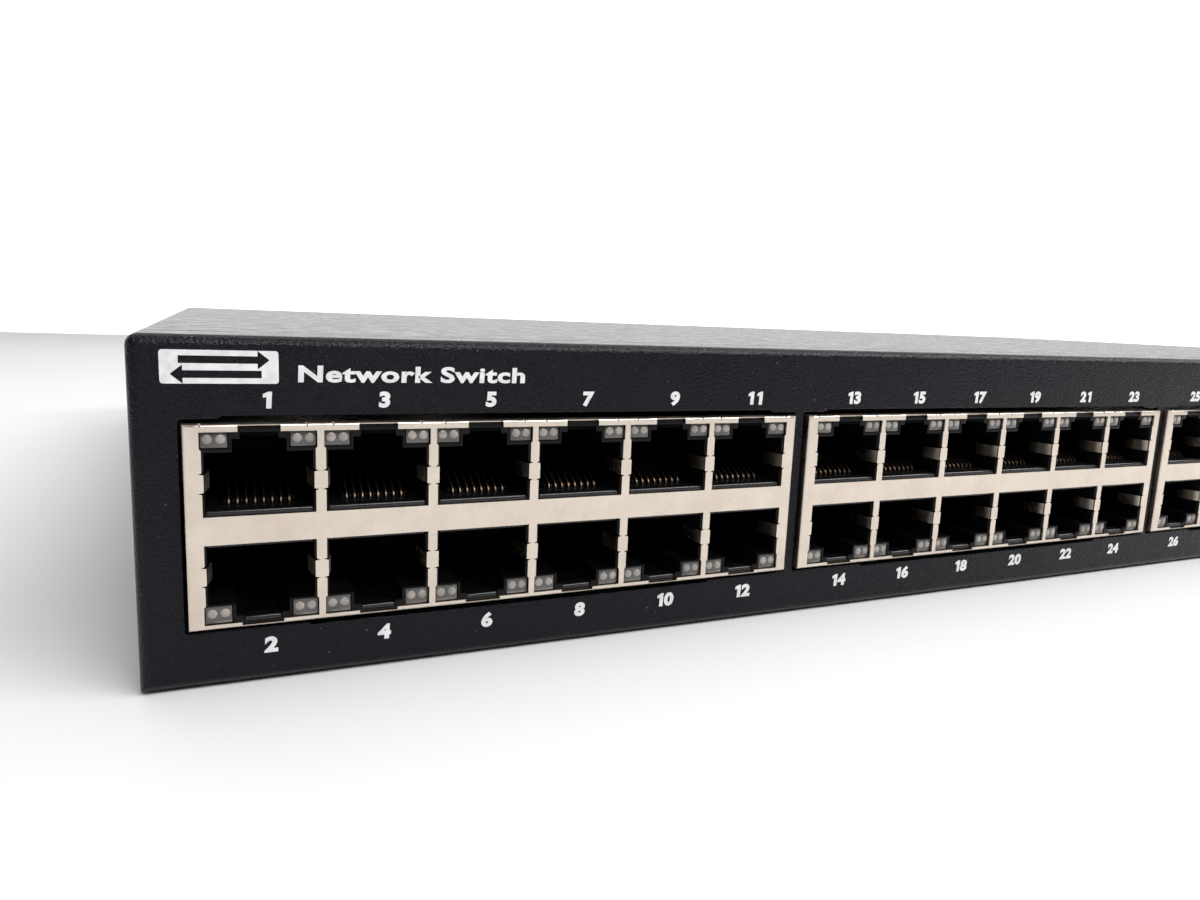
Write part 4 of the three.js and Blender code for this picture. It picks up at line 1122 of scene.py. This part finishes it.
def fan_rotor(number):
    """The impeller: a capped hub with blades round it."""
    node = f"fan_rotor_{number}"
    low, high = node_box(node)
    x, z = face_place(f"fan_frame_{number}")
    depth = high.y - low.y
    shape = Shape().lathe([(0, 0), (FAN_HUB - 1.5, 0), (FAN_HUB - 0.4, 0.5), (FAN_HUB, 1.6), (FAN_HUB, depth),
                           (0, depth)], "+y", (x, low.y, z), 44)
    for i in range(FAN_BLADES):
        blade = fan_blade(x, low.y + depth / 2, z, i * 2 * math.pi / FAN_BLADES)
        shape.take(blade, Matrix.Identity(4), 0)
    piece(f"fan_{number}_blades", shape, [PLASTIC], body=f"fan_{number}_impeller", nodes=[node])


# ---------------------------------------------------------------- inside
def board_parts():
    """Small parts on the main board: magnetics behind the jacks, chips, coils and capacitors."""
    _, board = node_box("main_board")
    top = board.z + 0.05
    shape = Shape()
    for name in ("jack_1", "jack_2", "jack_3", "jack_4"):
        jack = Jack(name, JACKS[name])
        for i, x in enumerate(jack.ports[::2]):
            chip = (x + 7, FRONT + 50)
            shape.block(about(chip[0], 8), about(chip[1], 5), (top, top + 5.5), radius=0.4)
            for pin in range(10):
                px = chip[0] - 6.8 + pin * 1.5
                for side in (-1, 1):
                    shape.block((px, px + 0.5), sorted((chip[1] + side * 4.8, chip[1] + side * 6.4)),
                                (top, top + 0.6), slot=1)
    for i in range(12):
        x = LEFT + 190 + i * 7.5
        shape.lathe([(3, 0), (3, 7), (2.6, 7.6), (0, 7.6)], "+z", (x, FRONT + 140, top), 20, slot=2)
    for i in range(5):
        x = LEFT + 330 + i * 16
        shape.block(about(x, 6), (FRONT + 96, FRONT + 108), (top, top + 2.2), radius=0.3)
    piece("main_board_parts", shape, [CHIP, NICKEL, SLEEVE])


# ---------------------------------------------------------------- carried-over CAD nodes
KEPT_NODES = {
    "main_board": BOARD, "supply_board": BOARD, "switch_chip_1": CHIP, "switch_chip_2": CHIP,
    "chip_heatsink_1": ALUMINIUM, "chip_heatsink_2": ALUMINIUM, "supply_heatsink": ALUMINIUM,
    "supply_transformer": TAPE, "supply_capacitor": SLEEVE, "power_harness": HARNESS,
    "sfp_connector": PLASTIC, "stack_switch": PLASTIC, "reset_switch": PLASTIC,
}


def dress_kept_nodes():
    for name, material in KEPT_NODES.items():
        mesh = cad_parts[name].data
        mesh.materials.clear()
        mesh.materials.append(material)


front_panel()
top_cover()
chassis_tray()
cover_screws()
for jack_name, port_count in JACKS.items():
    this_jack = Jack(jack_name, port_count)
    jack_shield(this_jack)
    jack_housing(this_jack)
    jack_wires(this_jack)
    jack_lamps(this_jack, 1, "upper")
    jack_lamps(this_jack, -1, "lower")
sfp_cage()
status_lamps()
buttons()
legends()
ac_inlet()
redundant_supply_connector()
console_port()
rear_screws()
rear_legends()
for fan_number in (1, 2):
    fan_frame(fan_number)
    fan_rotor(fan_number)
board_parts()
dress_kept_nodes()


# ---------------------------------------------------------------- the studio
def pale_floor():
    """A plain pale sweep for the switch to stand on."""
    half, near, height = 0.9, -2.0, -0.4 * MM
    corners = [(-half, near, height), (half, near, height), (half, half, height), (-half, half, height)]
    mesh = bpy.data.meshes.new("floor")
    mesh.from_pydata(corners, [], [(0, 1, 2, 3)])
    material, tree, shader = node_material("pale_floor")
    mottle = add_noise(tree, 6, 2)
    colour = add_mix(tree, mottle, "Fac", (0.69, 0.69, 0.69), (0.74, 0.74, 0.735))
    link(tree, colour, "Result", shader, "Base Color")
    fill(shader, {"Roughness": 0.7})
    mesh.materials.append(material)
    floor = bpy.data.objects.new("floor", mesh)
    bpy.context.scene.collection.objects.link(floor)


def soft_light(name, place, target, size, power):
    light = bpy.data.lights.new(name, "AREA")
    light.shape = "RECTANGLE"
    light.size, light.size_y = size
    light.energy = power
    lamp = bpy.data.objects.new(name, light)
    lamp.location = place
    lamp.rotation_euler = (Vector(target) - Vector(place)).to_track_quat("-Z", "Y").to_euler()
    lamp.visible_camera = False
    bpy.context.scene.collection.objects.link(lamp)


def bright_room():
    """A bright band low down beyond the switch, with a dimmer room above it and on the viewer's side."""
    world = bpy.data.worlds.new("bright_room")
    world.use_nodes = True
    tree = world.node_tree
    direction = add_node(tree, "TexCoord")
    split_up = add_node(tree, "SeparateXYZ")
    link(tree, direction, "Generated", split_up, "Vector")
    towards = add_node(tree, "VectorMath", {1: (0.45, 0.89, 0)})
    towards.operation = "DOT_PRODUCT"
    link(tree, direction, "Generated", towards, 0)
    beyond = add_range(tree, towards, "Value", 0.0, 1.0, 0.0, 0.8)
    low_down = add_range(tree, split_up, "Z", 1.0, 0.0, 0.34, 0.5)
    both = add_node(tree, "Math")
    both.operation = "MULTIPLY"
    link(tree, beyond, "Result", both, 0)
    link(tree, low_down, "Result", both, 1)
    spread = add_range(tree, both, "Value", 0.2, 1.6, 0.0, 1.0)
    background = tree.nodes["Background"]
    fill(background, {"Color": (1.0, 0.995, 0.99, 1)})
    link(tree, spread, "Result", background, "Strength")
    bpy.context.scene.world = world


def viewing_camera():
    """The viewing angle: close to the panel's left end, a little above it, turned to the right."""
    distance, across, height = 108.6, 9.2, 47.2      # from the panel's face, its left side and the floor
    yaw, pitch, roll = math.radians(24.58), math.radians(-9.14), math.radians(2.38)
    camera_data = bpy.data.cameras.new("camera")
    camera_data.sensor_width = 36
    camera_data.lens = 25.5
    camera_data.clip_start = 0.005
    camera = bpy.data.objects.new("camera", camera_data)
    place = Vector((LEFT + across, FRONT - distance, height)) * MM
    camera.matrix_world = (Matrix.Translation(place) @ Matrix.Rotation(-yaw, 4, "Z") @
                           Matrix.Rotation(math.pi / 2 + pitch, 4, "X") @ Matrix.Rotation(roll, 4, "Z"))
    bpy.context.scene.collection.objects.link(camera)
    bpy.context.scene.camera = camera


pale_floor()
bright_room()
soft_light("overhead", (0.1, 0.3, 0.9), (0.1, 0.2, 0.0), (1.6, 0.9), 8)
soft_light("front_top", (0.5, -0.80, 0.93), (0.2, -0.13, 0.03), (1.8, 0.35), 27)
viewing_camera()
bpy.context.scene.view_settings.view_transform = "Standard"
